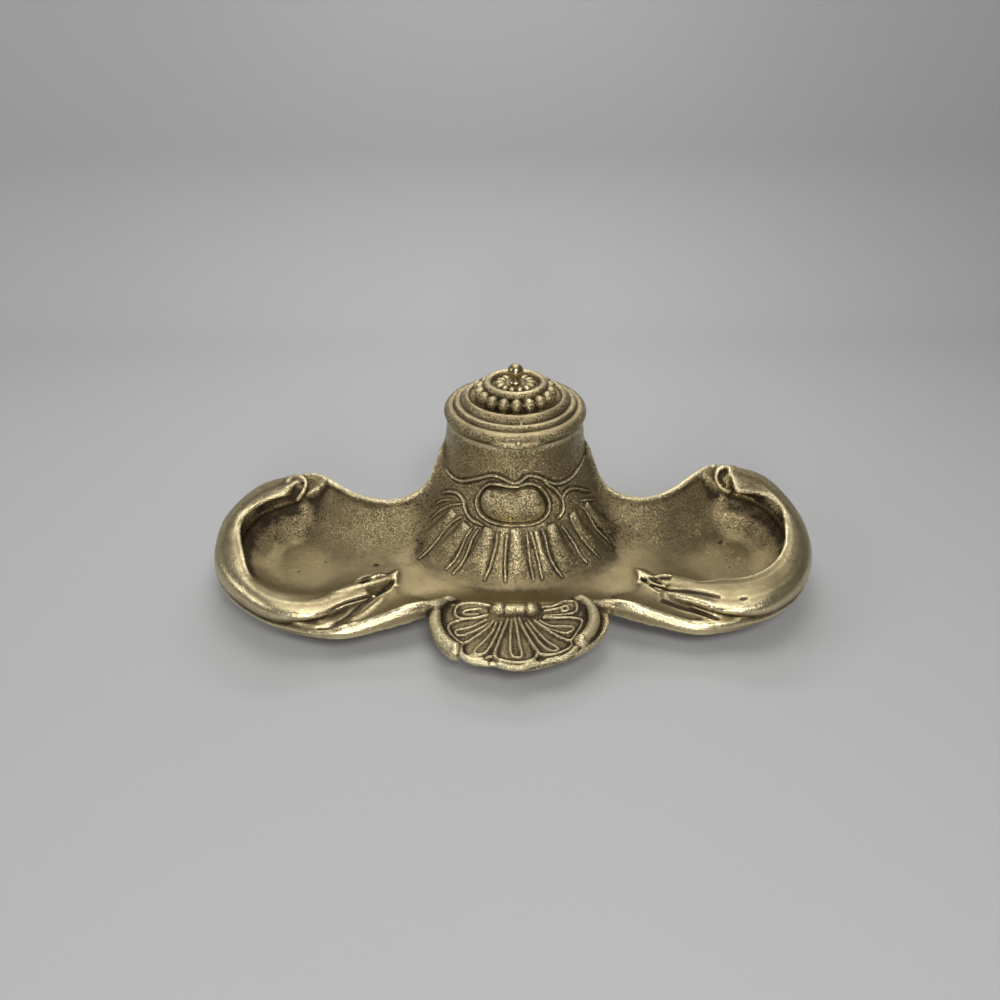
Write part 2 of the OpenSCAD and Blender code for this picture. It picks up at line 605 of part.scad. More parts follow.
module neck_hinge_leaf() {
    color([0.58, 0.5, 0.3])
    translate([0, well_y, 0])
    difference() {
        union() {
            knuckle(-hinge_w / 2, -mid - side_gap);
            knuckle(mid + side_gap, hinge_w / 2);
            for (side = [-1, 1])
                translate([side > 0 ? mid + side_gap : -hinge_w / 2, pad_y, axis_z - 3.2])
                    cube([hinge_w / 2 - mid - side_gap, leaf_t, 3.2]);
            translate([-hinge_w / 2, pad_y, axis_z - neck_leaf_l])
                cube([hinge_w, leaf_t, neck_leaf_l - 3]);
        }
        pin_bore();
        for (side = [-1, 1])
            translate([side * rivet_x, pad_y + leaf_t + 1, neck_rivet_z]) rotate([90, 0, 0])
                cylinder(h = leaf_t + 2, r = rivet_r + fit_gap, $fn = 32);
    }
}

// Rivet that stands on z = 0 under its head
module rivet(shank_l) {
    translate([0, 0, -shank_l]) cylinder(h = shank_l, r = rivet_r);
    cylinder(h = rivet_head_h, r1 = rivet_head_r, r2 = rivet_head_r - 0.6);
}
module lid_leaf_rivets() {
    color([0.7, 0.6, 0.36])
    for (side = [-1, 1])
        translate([side * rivet_x, well_y + lid_rivet_y, leaf_top]) rivet(leaf_t + lid_shank_l);
}
module neck_leaf_rivets() {
    color([0.7, 0.6, 0.36])
    for (side = [-1, 1])
        translate([side * rivet_x, well_y + pad_y + leaf_t, neck_rivet_z])
            rotate([-90, 0, 0]) rivet(leaf_t + neck_shank_l);
}
module hinge_pin() {
    color([0.7, 0.6, 0.36])
    translate([0, well_y + axis_y, axis_z]) rotate([0, 90, 0]) {
        translate([0, 0, -hinge_w / 2 - 0.2]) cylinder(h = hinge_w + 0.4, r = pin_r);
        for (end = [-hinge_w / 2 - 0.9, hinge_w / 2 + 0.1])
            translate([0, 0, end]) cylinder(h = 0.8, r = pin_r + 0.6);
    }
}

// Button foot with a stud that screws into its boss
stud_top = foot_h + stud_l - 0.2;
module foot(k) {
    color([0.5, 0.43, 0.25])
    translate([foot_places[k][0], well_y + foot_places[k][1], 0])
    rotate_extrude()
        polygon([[0, 0], [foot_r - 1.4, 0], [foot_r - 0.4, 0.8], [foot_r, 2], [foot_r - 0.5, 3.4],
            [foot_r - 1.6, foot_h], [stud_r, foot_h], [stud_r, stud_top], [0, stud_top]]);
}
module foot_front_left() { foot(0); }
module foot_front_right() { foot(1); }
module foot_back_left() { foot(2); }
module foot_back_right() { foot(3); }

tray();
ink_pot();
lid();
finial();
finial_washer();
finial_nut();
lid_hinge_leaf();
lid_leaf_rivets();
neck_hinge_leaf();
neck_leaf_rivets();
hinge_pin();
foot_front_left();
foot_front_right();
foot_back_left();
foot_back_right();
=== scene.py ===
"""Desk inkstand of aged cast brass, dressed around its CAD frame.

The file is laid out as an add-on that is run as a script: the settings, one operator for each
piece or group of pieces, one for the stage, and a panel. main() calls them in order. Lengths in
the tables are millimetres from the well's axis, with -Y to the front shell and Z from the table.
"""

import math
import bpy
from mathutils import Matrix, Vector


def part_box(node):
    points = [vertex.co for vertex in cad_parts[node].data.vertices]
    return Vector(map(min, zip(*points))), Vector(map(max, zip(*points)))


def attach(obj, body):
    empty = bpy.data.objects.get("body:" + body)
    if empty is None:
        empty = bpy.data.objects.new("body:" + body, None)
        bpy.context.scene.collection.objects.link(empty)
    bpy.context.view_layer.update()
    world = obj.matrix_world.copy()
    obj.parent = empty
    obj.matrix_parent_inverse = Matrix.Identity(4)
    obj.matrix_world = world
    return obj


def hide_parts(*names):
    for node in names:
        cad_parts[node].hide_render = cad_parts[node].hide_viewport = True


bl_info = {
    "name": "Desk inkstand",
    "version": (1, 0, 0),
    "blender": (4, 5, 0),
    "location": "3D View > Sidebar > Inkstand",
    "description": "Dresses the desk inkstand's frame with its cast pieces and materials",
    "category": "Object",
}

import bmesh
import bpy
import numpy as np
from mathutils import Matrix, Vector

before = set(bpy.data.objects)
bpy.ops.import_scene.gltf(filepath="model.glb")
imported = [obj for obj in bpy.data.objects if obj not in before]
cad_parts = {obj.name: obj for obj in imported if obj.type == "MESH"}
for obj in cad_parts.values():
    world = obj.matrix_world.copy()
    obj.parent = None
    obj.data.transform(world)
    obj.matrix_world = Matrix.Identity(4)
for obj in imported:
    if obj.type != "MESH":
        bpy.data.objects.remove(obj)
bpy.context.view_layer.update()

MM = 0.001


def box_of(node):
    """Low and high corner of a CAD node in millimetres."""
    return [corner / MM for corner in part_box(node)]


# The well's axis in the row frame, and the levels that the frame gives
WELL_Y = sum(corner.y for corner in box_of("ink_pot")) / 2
LID_Z, CROWN_Z = (corner.z for corner in box_of("lid"))
NECK_H = box_of("tray")[1].z
FEET = ("foot_front_left", "foot_front_right", "foot_back_left", "foot_back_right")
NECK_R = 29.3
LID_R = 30.3
LIP_REACH, LIP_SPREAD = 2.7, 22
WAIST_R = 31.8
WAIST_Z = 43.5
FLOOR_H = 9.5
BOWL_DROP = 2.2
CAST_WALL = 2.4
CUT_X = 45.0
BOSS_R, BOSS_Z = 4.4, 4.4
APRON_W = 24.5
APRON_POWER = 1.9
APRON_RISE = WAIST_Z - FLOOR_H - 0.5

# Rails of the right half, as in the frame
BACK_EDGE = [(31, 0, 43.9), (34, -6, 38.6), (39, -10, 32), (48, -12.5, 27.5), (59, -12, 26),
             (71, -6, 26), (81, 2, 27), (89, 7, 28), (97, 8, 28)]
ROLL_INNER = [(95, -3, 22), (109, -10.5, 20), (115.3, -22, 18), (115, -37.7, 17),
              (109, -49, 15.5), (100, -56.5, 15), (88, -60, 14), (78, -58, 13.2),
              (68, -52.5, 11.6), (60.5, -47.5, 10.4), (52, -46, 9.4)]
ROLL_RIDGE = [(97, 2.5, 29.5), (111, -5, 27.5), (118.5, -22, 25.5), (119, -38, 24.5),
              (114, -53, 23.6), (105, -65.5, 22.8), (92, -73.5, 21.8), (79, -73, 19.5),
              (70.5, -66, 16.6), (61.5, -55.5, 13.2), (51, -47, 10.2)]
ROLL_OUTER = [(98, 8.2, 27), (115, 4.5, 24), (124.8, -14, 20.5), (125, -34, 17.5),
              (120, -51, 15), (109, -65, 13.4), (93, -76, 13.6), (77, -77, 15.6),
              (67.5, -69.5, 14.2), (58, -59, 11.6), (50.3, -47.8, 9.6)]
FRONT_LIP = [(125, -26, 18.6), (122.5, -44, 15.6), (113, -61, 13.6), (98, -73.5, 13),
             (84, -78.4, 14), (72, -79.6, 13.6), (64.3, -78.8, 13.4), (55.1, -76.2, 14.8),
             (48.5, -74.6, 16.6), (41.8, -72.4, 17.8), (34.4, -69.6, 16.6), (28, -67.5, 14)]
SKIRT_EDGE = [(124.6, -27, 17.6), (121.5, -45, 13.6), (111.5, -61, 10.4), (97, -72.5, 9),
              (83.7, -78.5, 8.5), (70.9, -81.3, 8.5), (64, -80.8, 8.6), (56, -78.4, 9),
              (49, -76.4, 9.6), (42, -74.4, 10.4), (35, -71.6, 11), (28, -69.5, 11)]
SHELL_Y = -66.0

# Each rolled rim's inner edge, which overhangs its bowl, from the scroll to the tail's tip, and
# the tail itself: place of its middle line and its radius
# These edges also set where painted shade falls on the bowl's wall under the overhang
EDGE_LEFT = [(-101, -7.5, 28.2), (-103.4, -7.9, 28.4), (-107, -9.7, 28.2), (-110.1, -11.9, 27.6),
             (-112.7, -14.2, 27), (-115.2, -18, 26.1), (-116.6, -24.6, 25.3),
             (-114.9, -34.9, 24.8), (-111.4, -45.7, 24), (-107.1, -56.6, 22.8),
             (-101.3, -64.2, 21.8), (-93.2, -70.3, 20.8), (-82.8, -69, 18.6),
             (-75.6, -62.9, 16.4), (-68.3, -55.6, 14.4), (-62.4, -49.3, 12.8),
             (-56.1, -44.5, 11.4), (-53, -45.4, 10.2)]
EDGE_RIGHT = [(97.6, -9.2, 27.9), (102, -9.8, 27.8), (106.6, -9.6, 27.4), (110.8, -10.8, 27),
              (114.1, -14, 26.6), (115.9, -17.6, 26.2), (116.4, -22.1, 26),
              (114.2, -32.7, 25.5), (110.9, -42.4, 24.8), (106.1, -50.8, 24),
              (99.9, -57.3, 23), (93.5, -60.7, 21.8), (87, -61.1, 20.2), (80.1, -59.6, 18.6),
              (72.6, -58.5, 16.8), (66.5, -52.9, 14.4), (60.7, -48.3, 12.4),
              (56.8, -47.6, 11), (54.8, -48.6, 10)]
TAIL_LEFT = [(-53.6, -46.8, 8.9, 2.2), (-57, -50, 9.3, 3), (-62, -54, 10.2, 3.8),
             (-67.6, -58.8, 11.3, 4.3), (-73, -63.8, 12.4, 4.5), (-79, -69, 12.5, 4.2)]
TAIL_RIGHT = [(55, -49.6, 8.9, 2), (58, -52, 9.3, 2.7), (62.6, -55, 10.2, 3.6),
              (68, -58.8, 11.4, 4.2), (73.4, -62.6, 12.4, 4.5), (80, -66.5, 12.5, 4.2)]
# Thin lips that curl round the blunt ends of the rolls
CURL_LEFT = [(-97.5, -6, 23), (-95, -3.5, 25.4), (-93.6, -0.5, 28.2), (-95.2, 3, 29.8),
             (-98.6, 5, 30), (-101.3, 3.2, 29.6), (-102, 0.4, 29)]
CURL_RIGHT = [(102, 7, 28.4), (97.4, 6.6, 29.2), (93.7, 5, 28.6), (91.8, 2.2, 27),
              (91.8, -1.3, 25.4), (93.6, -4.2, 24.2), (97, -5.6, 23)]
# Creases and soft folds that run out of the tails, as places in the camera's picture, with
# their height and half width. Hollows and casting flaws: place, half length, half width, turn
# in degrees and depth
# Narrow sunk creases and the deep hollows are also painted dark as painted shade; the small
# shallow spots are dark casting flaws
FOLDS = [
    ([(651, 585), (665, 589.5), (682, 591), (700, 593), (719, 597)], -0.6, 2.6),
    ([(662, 601), (681, 607.5), (699, 612.5), (718, 619)], -0.7, 2.6),
    ([(690, 606), (704, 611), (716, 615.5)], 0.4, 2.2),
    ([(660, 595), (690, 600.5), (713, 606)], 0.9, 7),
    ([(394, 580), (388, 588), (376, 594), (360, 599), (344, 604), (330, 611)], -0.6, 2.8),
    ([(380, 593), (368, 601), (356, 611), (344, 621), (330, 627), (318, 629)], -0.6, 3.2),
    ([(385, 597), (374, 606), (362, 615), (350, 622)], 0.5, 4),
    ([(262, 615), (284, 624), (312, 630), (340, 629)], -0.5, 4),
]
HOLLOWS = [((744, 598.5), 6, 2.6, -10, 0.45), ((655, 580.5), 10, 3.6, 27, 1.2),
           ((365, 579.5), 10, 4, -18, 1.3), ((376, 565), 4.5, 1.8, 0, 0.4),
           ((298, 571), 2, 1.4, 0, 0.3),
           ((325, 562), 1.6, 1.2, 0, 0.3), ((721, 542), 4.6, 2.6, -20, 0.5),
           ((730, 567), 2, 1.3, 0, 0.3), ((738, 505), 2, 2, 0, 0.4)]
CAMERA_PLACE = (-11.78, -306.79, 217.4)
CAMERA_AIM = (0.0146, 0.8386, -0.5446)
PICTURE_FOCUS, PICTURE_MIDDLE = 800.0, 500.0
SENSOR = 36.0

# Lamps in metres: place, what they are turned to, size and watts
LAMPS = {
    "overhead": ((0.0, 0.2, 0.8), (0, 0.02, 0), (0.5, 0.5), 2.2),
    "key": ((0.1, -0.5, 0.62), (0, 0.02, 0.02), (0.3, 0.2), 2.2),
    "left_window": ((-0.7, -0.05, 0.45), (0, 0.02, 0.02), (0.25, 0.25), 1.0),
    "strip": ((-0.03, -0.7, 0.24), (0, 0.02, 0.04), (0.07, 0.2), 1.3),
    "back": ((0.0, 0.31, 0.33), (0, -0.03, 0.02), (0.3, 0.06), 0.35),
}

# Thin raised lines on the neck and apron, as degrees from the front and height
WAIST_LINE = [(-72.6, 42.8), (-59.6, 41.8), (-45.6, 42.3), (-32.4, 45.7), (-19.4, 48.8),
              (-11.6, 48.2), (-1.5, 46.2), (5.9, 48.6), (9.8, 49.3), (17.4, 47.9), (29, 43.9),
              (41.6, 43), (57.2, 44.8), (72, 46.5)]
RING = [(-26.1, 42.5), (-21.3, 44.9), (-13.7, 45.4), (-3.9, 44.8), (2.1, 45.1), (8.2, 45.9),
        (14.4, 44.9), (20.4, 41.6), (23, 37.2), (21.3, 33.6), (15.6, 31.1), (9, 30.2),
        (0.7, 30), (-7.5, 30), (-16, 30.6), (-23.1, 32), (-28, 34.8), (-29.4, 38.5),
        (-26.1, 42.5)]
STRAND_RIGHT = [(18.7, 47.5), (23.5, 44.3), (29.6, 41.1), (33.4, 36.6), (32.2, 32.5),
                (26.8, 30.3)]
HOOK_RIGHT = [(33.5, 37), (34.8, 37.9), (38.6, 39.2), (44.3, 39), (52.3, 36.8), (62.8, 32.7)]
STRAND_LEFT = [(-62, 32.9), (-53.6, 35.9), (-46.3, 37), (-39.9, 35.7), (-37, 33),
               (-33.3, 30.8), (-28.5, 29.4), (-22, 28.7)]
WING_LINES = [
    [(-49.9, 33.7), (-59.6, 30), (-66, 24.2), (-66.2, 19.9), (-64.8, 16), (-63.1, 12)],
    [(-40.4, 33.9), (-46.9, 32.1), (-56.3, 27.1), (-61.2, 21.1), (-62.1, 16.6),
     (-60.4, 11.5)],
    [(48.7, 32.8), (58.6, 30.4), (65.4, 27.5), (67.4, 23.1), (67.2, 19.4), (67.2, 16.4)],
]
PILLOW = [(-21.6, 42.7), (-13.5, 43), (-2.7, 42.8), (4.5, 43.8), (13, 43.3), (18, 39.6),
          (19.5, 35.7), (15.8, 32.3), (9.1, 31.3), (-1.4, 31), (-11.9, 31.5), (-21, 33.2),
          (-25.5, 36.5), (-25.4, 40.3)]
RIBS = [
    [(-37.7, 29.3), (-41.8, 27), (-46.3, 22), (-49.3, 15.4), (-51.5, 10.2)],
    [(-28.5, 26.6), (-30.9, 23.1), (-31.9, 18.7), (-33.1, 14.3), (-35.5, 11.1)],
    [(-24.6, 26.5), (-26.9, 22.5), (-27.6, 18.3), (-28.9, 13.8), (-31.2, 10.7)],
    [(-12.2, 26.7), (-12.1, 23.1), (-13.1, 18.5), (-14, 14.7), (-15.6, 11.2)],
    [(-6.2, 26.4), (-6.6, 21.1), (-6.4, 15.7), (-5.8, 11.2)],
    [(5.7, 28.1), (6.2, 23.3), (6.4, 18.8), (6.9, 14.6), (7.5, 11.6)],
    [(8.1, 27.4), (9.6, 23.7), (10.4, 19.7), (11.2, 15.3), (11.5, 11.6)],
    [(15.1, 28.1), (16.7, 24.3), (17.2, 19), (18.7, 14.5), (21.1, 11.1)],
    [(28.7, 27.4), (31.2, 23.8), (33.5, 19.7), (34.8, 15.3), (36.3, 12.2)],
    [(36.9, 29.7), (36.9, 27.4), (38.8, 22.1), (41.8, 16.4), (44.6, 11.8)],
    [(47.3, 31.2), (51.1, 27.4), (52.7, 20.7), (55.5, 15.5), (56.4, 11.1)],
    [(55, 24.1), (59.4, 17.2), (60.1, 13.3)],
]
# Soft convex gadroons between the lines: top, bottom, half width at the bottom, height
GADROONS = [
    [(-44.5, 30), (-52, 20), (-57.5, 12.5), 4.6, 1.0],
    [(-32.5, 27.5), (-38.5, 19), (-43, 12), 5, 1.15],
    [(-17.5, 28.2), (-20, 19), (-22.5, 12), 5.2, 1.2],
    [(-1, 28.8), (-0.3, 19), (0.6, 11.5), 4.8, 1.15],
    [(11.6, 27.5), (13.2, 19), (15.2, 12), 2.4, 0.6],
    [(21.6, 29), (24.5, 19), (27.6, 12), 5, 1.2],
    [(38.8, 30.5), (42.5, 21), (48.4, 12), 4.2, 1.0],
    [(53, 30.5), (58.5, 22), (62.8, 13.5), 4, 0.9],
]

# The shell's own lines, as plan places
PETAL_LINES = [
    [(-11.9, -68.3), (-16.4, -67.1), (-20.4, -66.8), (-23.8, -68.1), (-25, -71.1),
     (-23.7, -74.1), (-18.8, -74.5), (-14.9, -73.5), (-12.5, -72.8)],
    [(-14.9, -73.8), (-22.2, -75.2), (-26.5, -77.3), (-27.4, -79.6), (-26.5, -82.6),
     (-24.3, -85.8), (-21.4, -87.9), (-17.2, -84.8), (-13, -80.7), (-10, -75.8)],
    [(-21.4, -87.9), (-22.3, -90.9), (-21.8, -94.2), (-18.5, -96.5), (-14.8, -96.9),
     (-11.2, -95.7)],
    [(-4.7, -75.1), (-6.8, -82.2), (-8.8, -89.1), (-10, -94.4), (-8.9, -97), (-5.7, -98.3),
     (-2.1, -99), (2, -98.5), (4.8, -96.6), (5.7, -93.3), (4.7, -90.7), (2.6, -85.2),
     (0.5, -78.8), (-0.5, -74.5)],
    [(5.5, -94), (8.2, -95), (11.9, -94.8), (16.2, -92.5), (18.3, -90.2), (18.3, -87.8)],
    [(5.5, -76), (9.1, -80.4), (13.6, -84.7), (18.1, -87.2), (20.8, -83.4), (23.2, -78.5),
     (23.3, -76), (20.2, -74.8), (14, -74.6), (9, -74.4)],
    [(8.8, -69.4), (13.3, -68.8), (17.5, -66.6), (21.1, -66.2), (22.3, -68.6),
     (21.2, -71.9), (15.4, -73.3), (9.6, -73.5)],
]
INNER_LINES = [
    [(-15, -69.6), (-20.8, -70.4), (-21.3, -72.2), (-16, -72.4)],
    [(-13, -75.3), (-18.7, -79.2), (-24, -80.9), (-24.2, -83), (-22, -83.7), (-16.3, -80.7),
     (-12, -77.2)],
    [(-9.1, -76.5), (-10.6, -81.5), (-13.9, -87), (-17.2, -91.6), (-16.7, -93.6),
     (-13.9, -93.3), (-11.6, -89.7), (-8.7, -82.2), (-7.1, -76.5)],
    [(-3.2, -75.2), (-3.8, -80.9), (-4.2, -88.5), (-4.1, -93.2), (-2.9, -95.2),
     (-0.6, -95.2), (-0.1, -93.2), (-0.8, -88.6), (-1.3, -81.6), (-2, -74.4)],
    [(2, -77.4), (4.2, -82.4), (6.7, -88), (9.3, -91.4), (12.1, -92.4), (13.2, -91),
     (9.6, -87.4), (6.1, -82), (3.1, -76)],
    [(7.4, -76.1), (11.6, -79.2), (16.4, -79.3), (19.7, -79.9), (19.1, -82), (16.1, -83),
     (10.1, -80.4), (6.6, -77.4)],
    [(9.7, -70.9), (14.7, -69.9), (18.3, -68.8), (18.6, -70.7), (16.6, -71.1),
     (16.2, -69.9)],
]
SHELL_RIM = [(-23.6, -90.6), (-19.5, -96.3), (-14, -98), (-9.8, -98.2), (-5, -100.2),
             (-0.3, -100.4), (5, -98.2), (10.9, -96.8), (16.1, -95), (20, -90.6),
             (21.6, -87)]
SCROLL_LEFT = [(-27, -63.6), (-31.4, -68), (-32.4, -76.1), (-30.3, -83.9), (-27.3, -88.6),
               (-24.4, -91.3)]
SCROLL_RIGHT = [(23.6, -64), (27.6, -69), (28, -76.9), (25.6, -83.6), (22, -88)]
KNOBS = [(-8, -69.9), (4.3, -70.2)]
NOTCHES = [(-10.6, -97.6), (6.4, -96.6), (-24.2, -89), (20.6, -88.6)]
SHELL_Z = 13.2


def curve(points, n):
    """Catmull-Rom curve through the points, n steps for each span."""
    p = np.array(points, float)
    t = (np.arange(n) / n)[:, None]
    out = []
    for i in range(len(p) - 1):
        a, b, c, d = p[max(i - 1, 0)], p[i], p[i + 1], p[min(i + 2, len(p) - 1)]
        out.append(0.5 * (2 * b + (c - a) * t + (2 * a - 5 * b + 4 * c - d) * t**2
                          + (3 * b - a - 3 * c + d) * t**3))
    return np.vstack(out + [p[-1:]])


def along(path):
    """How far along a path its points lie, from 0 to 1."""
    run = np.concatenate([[0], np.cumsum(np.linalg.norm(np.diff(path, axis=0), axis=1))])
    return run / run[-1]


def resampled(path, run, at):
    """Points of a path, whose own places along it are run, at other places along it."""
    return np.column_stack([np.interp(at, run, path[:, k]) for k in range(3)])


def near_path(q, path):
    """Distance to a path of plan or space points, place along it and side of it."""
    k = q.shape[1]
    best = np.full(len(q), 1e9)
    span = np.zeros(len(q))
    left = np.zeros(len(q), bool)
    for i, (a, b) in enumerate(zip(path[:-1], path[1:])):
        d, v = (b - a)[:k], q - a[:k]
        t = np.clip(v @ d / max(d @ d, 1e-9), 0, 1)
        dist = np.linalg.norm(v - t[:, None] * d, axis=1)
        m = dist < best
        best[m], span[m] = dist[m], (i + t)[m]
        left[m] = (d[0] * v[:, 1] - d[1] * v[:, 0] > 0)[m]
    return best, span, left


def eased(v, low, high):
    """Smooth step from 0 at low to 1 at high."""
    t = np.clip((v - low) / (high - low), 0, 1)
    return t * t * (3 - 2 * t)


def bank(q, path, width, base):
    """Rise above the base, highest at the curve and gone at the width inwards of it."""
    dist, span, left = near_path(q, path)
    z = np.interp(span, np.arange(len(path)), path[:, 2])
    fall = np.where(left, 1, np.clip(1 - dist / width, 0, 1))
    return np.maximum(z - base, 0) * fall**2


INNER, RIDGE = np.array(ROLL_INNER, float), np.array(ROLL_RIDGE, float)
BED = np.column_stack([(INNER * 0.72 + RIDGE * 0.28)[:10, :2], INNER[:10, 2]])
EDGE_CURVE = curve(BACK_EDGE, 6)
BED_CURVE = curve(BED, 6)
LIP_CURVE = curve(FRONT_LIP[8:] + [(0, SHELL_Y, 13.6)], 6)


def apron_z(r):
    return APRON_RISE * np.clip(1 - (r - WAIST_R) / APRON_W, 0, 1) ** APRON_POWER


def apron_r(z):
    z = np.asarray(z, float)
    swell = np.clip((z - FLOOR_H) / APRON_RISE, 0, 1) ** (1 / APRON_POWER)
    neck = np.interp(z, [WAIST_Z, WAIST_Z + 3, NECK_H - 9, NECK_H - 4],
                     [WAIST_R, WAIST_R - 0.8, NECK_R + 0.5, NECK_R])
    return np.where(z > WAIST_Z, neck, WAIST_R + APRON_W * (1 - swell))


def top_z(x, y):
    """Height of the tray's smooth top above a place of its plan."""
    q = np.column_stack([np.abs(x), y])
    base = FLOOR_H - BOWL_DROP * eased(q[:, 0], 45, 82)
    rises = [apron_z(np.linalg.norm(q, axis=1)), bank(q, EDGE_CURVE, 25, base),
             np.where(q[:, 0] < 50, 0, bank(q, BED_CURVE, 17, base)),
             bank(q, LIP_CURVE, 14, base)]
    return base + sum(r**3 for r in rises) ** (1 / 3)


def inside(q, outline):
    """Which plan places lie inside a closed outline."""
    hit = np.zeros(len(q), bool)
    for a, b in zip(outline, np.roll(outline, -1, 0)):
        across = (a[1] > q[:, 1]) != (b[1] > q[:, 1])
        at = a[0] + (q[:, 1] - a[1]) / (b[1] - a[1] + 1e-12) * (b[0] - a[0])
        hit ^= across & (q[:, 0] < at)
    return hit


def surface(bm, rows, caps=False):
    """Grid of faces through rows of points; a row that ends where it starts is welded."""
    rows = np.asarray(rows, float)
    n, m = rows.shape[:2]
    made = bmesh.ops.create_grid(bm, x_segments=m - 1, y_segments=n - 1, size=1)["verts"]
    for vert, co in zip(made, rows.reshape(-1, 3)):
        vert.co = co
    bmesh.ops.remove_doubles(bm, verts=made, dist=1e-4)
    if caps:
        made = [v for v in made if v.is_valid]
        edges = {e for v in made for e in v.link_edges if e.is_boundary}
        bmesh.ops.holes_fill(bm, edges=list(edges), sides=0)


def tube(bm, path, radii, sides=16):
    """Round bar along a path with a radius at each point, closed at its ends."""
    path = np.asarray(path, float)
    radii = np.broadcast_to(np.asarray(radii, float), len(path))
    ahead = np.gradient(path, axis=0)
    ahead /= np.linalg.norm(ahead, axis=1)[:, None] + 1e-9
    side = np.cross(ahead, [0, 0, 1.0])
    side /= np.linalg.norm(side, axis=1)[:, None] + 1e-9
    up = np.cross(side, ahead)
    t = np.linspace(0, 2 * math.pi, sides + 1)
    t[-1] = 0
    rows = path[:, None] + radii[:, None, None] * (
        np.cos(t)[None, :, None] * side[:, None] + np.sin(t)[None, :, None] * up[:, None])
    surface(bm, rows, caps=True)


def ball(bm, centre, radius, squash=(1, 1, 1)):
    place = Matrix.Translation(centre) @ Matrix.Diagonal((*squash, 1))
    bmesh.ops.create_icosphere(bm, subdivisions=3, radius=radius, matrix=place)


def sheet(bm, outline, hole_r, z_top, wall, step):
    """Cast sheet over a plan outline: its cut edge is drawn onto the outline itself."""
    low, high = outline.min(0), outline.max(0)
    xs = np.arange(low[0] - step, high[0] + 2 * step, step)
    ys = np.arange(low[1] - step, high[1] + 2 * step, step)
    grid = np.stack(np.meshgrid(xs, ys, indexing="ij"), -1)
    flat = grid.reshape(-1, 2)
    made = bmesh.ops.create_grid(bm, x_segments=len(ys) - 1, y_segments=len(xs) - 1, size=1)
    verts = made["verts"]
    keep = inside(flat, outline) & (np.linalg.norm(flat, axis=1) > hole_r)
    for vert, co in zip(verts, flat):
        vert.co = (co[0], co[1], 0)
    bmesh.ops.delete(bm, geom=[v for v, k in zip(verts, keep) if not k], context="VERTS")
    verts = [v for v in verts if v.is_valid]
    rim = [v for v in verts if v.is_boundary and math.hypot(v.co.x, v.co.y) > hole_r + 2]
    closed = np.vstack([outline, outline[:1]])
    q = np.array([v.co[:2] for v in rim])
    _, span, _ = near_path(q, closed)
    steps = np.arange(len(closed))
    for v, s in zip(rim, span):
        v.co.x, v.co.y = np.interp(s, steps, closed[:, 0]), np.interp(s, steps, closed[:, 1])
    co = np.array([v.co for v in verts])
    z = z_top(co[:, 0], co[:, 1])
    dx = (z_top(co[:, 0] + 0.5, co[:, 1]) - z_top(co[:, 0] - 0.5, co[:, 1]))
    dy = (z_top(co[:, 0], co[:, 1] + 0.5) - z_top(co[:, 0], co[:, 1] - 0.5))
    depth = wall * np.sqrt(1 + np.minimum(dx**2 + dy**2, 8))
    for v, h in zip(verts, z):
        v.co.z = h
    faces = list({f for v in verts for f in v.link_faces})
    drop = {tuple(round(c, 4) for c in v.co): d for v, d in zip(verts, depth)}
    below = bmesh.ops.extrude_face_region(bm, geom=faces)["geom"]
    for v in (g for g in below if isinstance(g, bmesh.types.BMVert)):
        v.co.z -= drop[tuple(round(c, 4) for c in v.co)]


def linked(bm, name):
    """New object in the scene from a bmesh, which is freed."""
    mesh = bpy.data.meshes.new(name)
    bm.to_mesh(mesh)
    bm.free()
    piece = bpy.data.objects.new(name, mesh)
    bpy.context.scene.collection.objects.link(piece)
    return piece


def to_piece(bm, name):
    """Object in metres and in the frame's place from a bmesh about the well's axis."""
    bmesh.ops.translate(bm, verts=bm.verts, vec=(0, WELL_Y, 0))
    bmesh.ops.scale(bm, verts=bm.verts, vec=(MM,) * 3)
    return linked(bm, name)


def remeshed(bm, voxel):
    """The closed shapes of a bmesh as one skin of even faces, in millimetres."""
    bmesh.ops.recalc_face_normals(bm, faces=bm.faces)
    piece = linked(bm, "skin")
    mesh = piece.data
    skin = piece.modifiers.new("skin", "REMESH")
    skin.mode, skin.voxel_size = "VOXEL", voxel
    done = bpy.data.meshes.new_from_object(
        piece.evaluated_get(bpy.context.evaluated_depsgraph_get()))
    bpy.data.objects.remove(piece)
    bpy.data.meshes.remove(mesh)
    out = bmesh.new()
    out.from_mesh(done)
    bpy.data.meshes.remove(done)
    return out


class Skin:
    """Arrays of a bmesh's points, normals and edges, for relief and for the recess and crest
    layers: tarnish and painted shade in hollows, rubbed crests.
    """

    def __init__(self, bm):
        self.bm = bm
        bm.verts.ensure_lookup_table()
        bm.verts.index_update()
        self.co = np.array([v.co for v in bm.verts])
        self.edges = np.array([[v.index for v in e.verts] for e in bm.edges])
        self.count = np.bincount(self.edges.ravel(), minlength=len(self.co))[:, None]

    def normals(self):
        self.write()
        self.bm.normal_update()
        return np.array([v.normal for v in self.bm.verts])

    def write(self):
        for v, co in zip(self.bm.verts, self.co):
            v.co = co

    def smoothed(self, values, times):
        a, b = self.edges.T
        n = len(values)
        for _ in range(times):
            total = np.column_stack([
                np.bincount(a, values[b, k], n) + np.bincount(b, values[a, k], n)
                for k in range(values.shape[1])])
            values = (values + total / self.count) / 2
        return values

    def hollows(self, times):
        """How far each point lies below its smoothed neighbourhood, in millimetres."""
        return ((self.smoothed(self.co, times) - self.co) * self.normals()).sum(1)

    def layer(self, name):
        layer = self.bm.verts.layers.float[name]
        return np.array([v[layer] for v in self.bm.verts])

    def set_layer(self, name, values):
        layer = self.bm.verts.layers.float.get(name) or self.bm.verts.layers.float.new(name)
        for v, value in zip(self.bm.verts, values):
            v[layer] = value


def bump(dist, half_width):
    """Round ridge profile over the distance from its crest."""
    return np.clip(1 - (dist / half_width) ** 2, 0, 1) ** 2


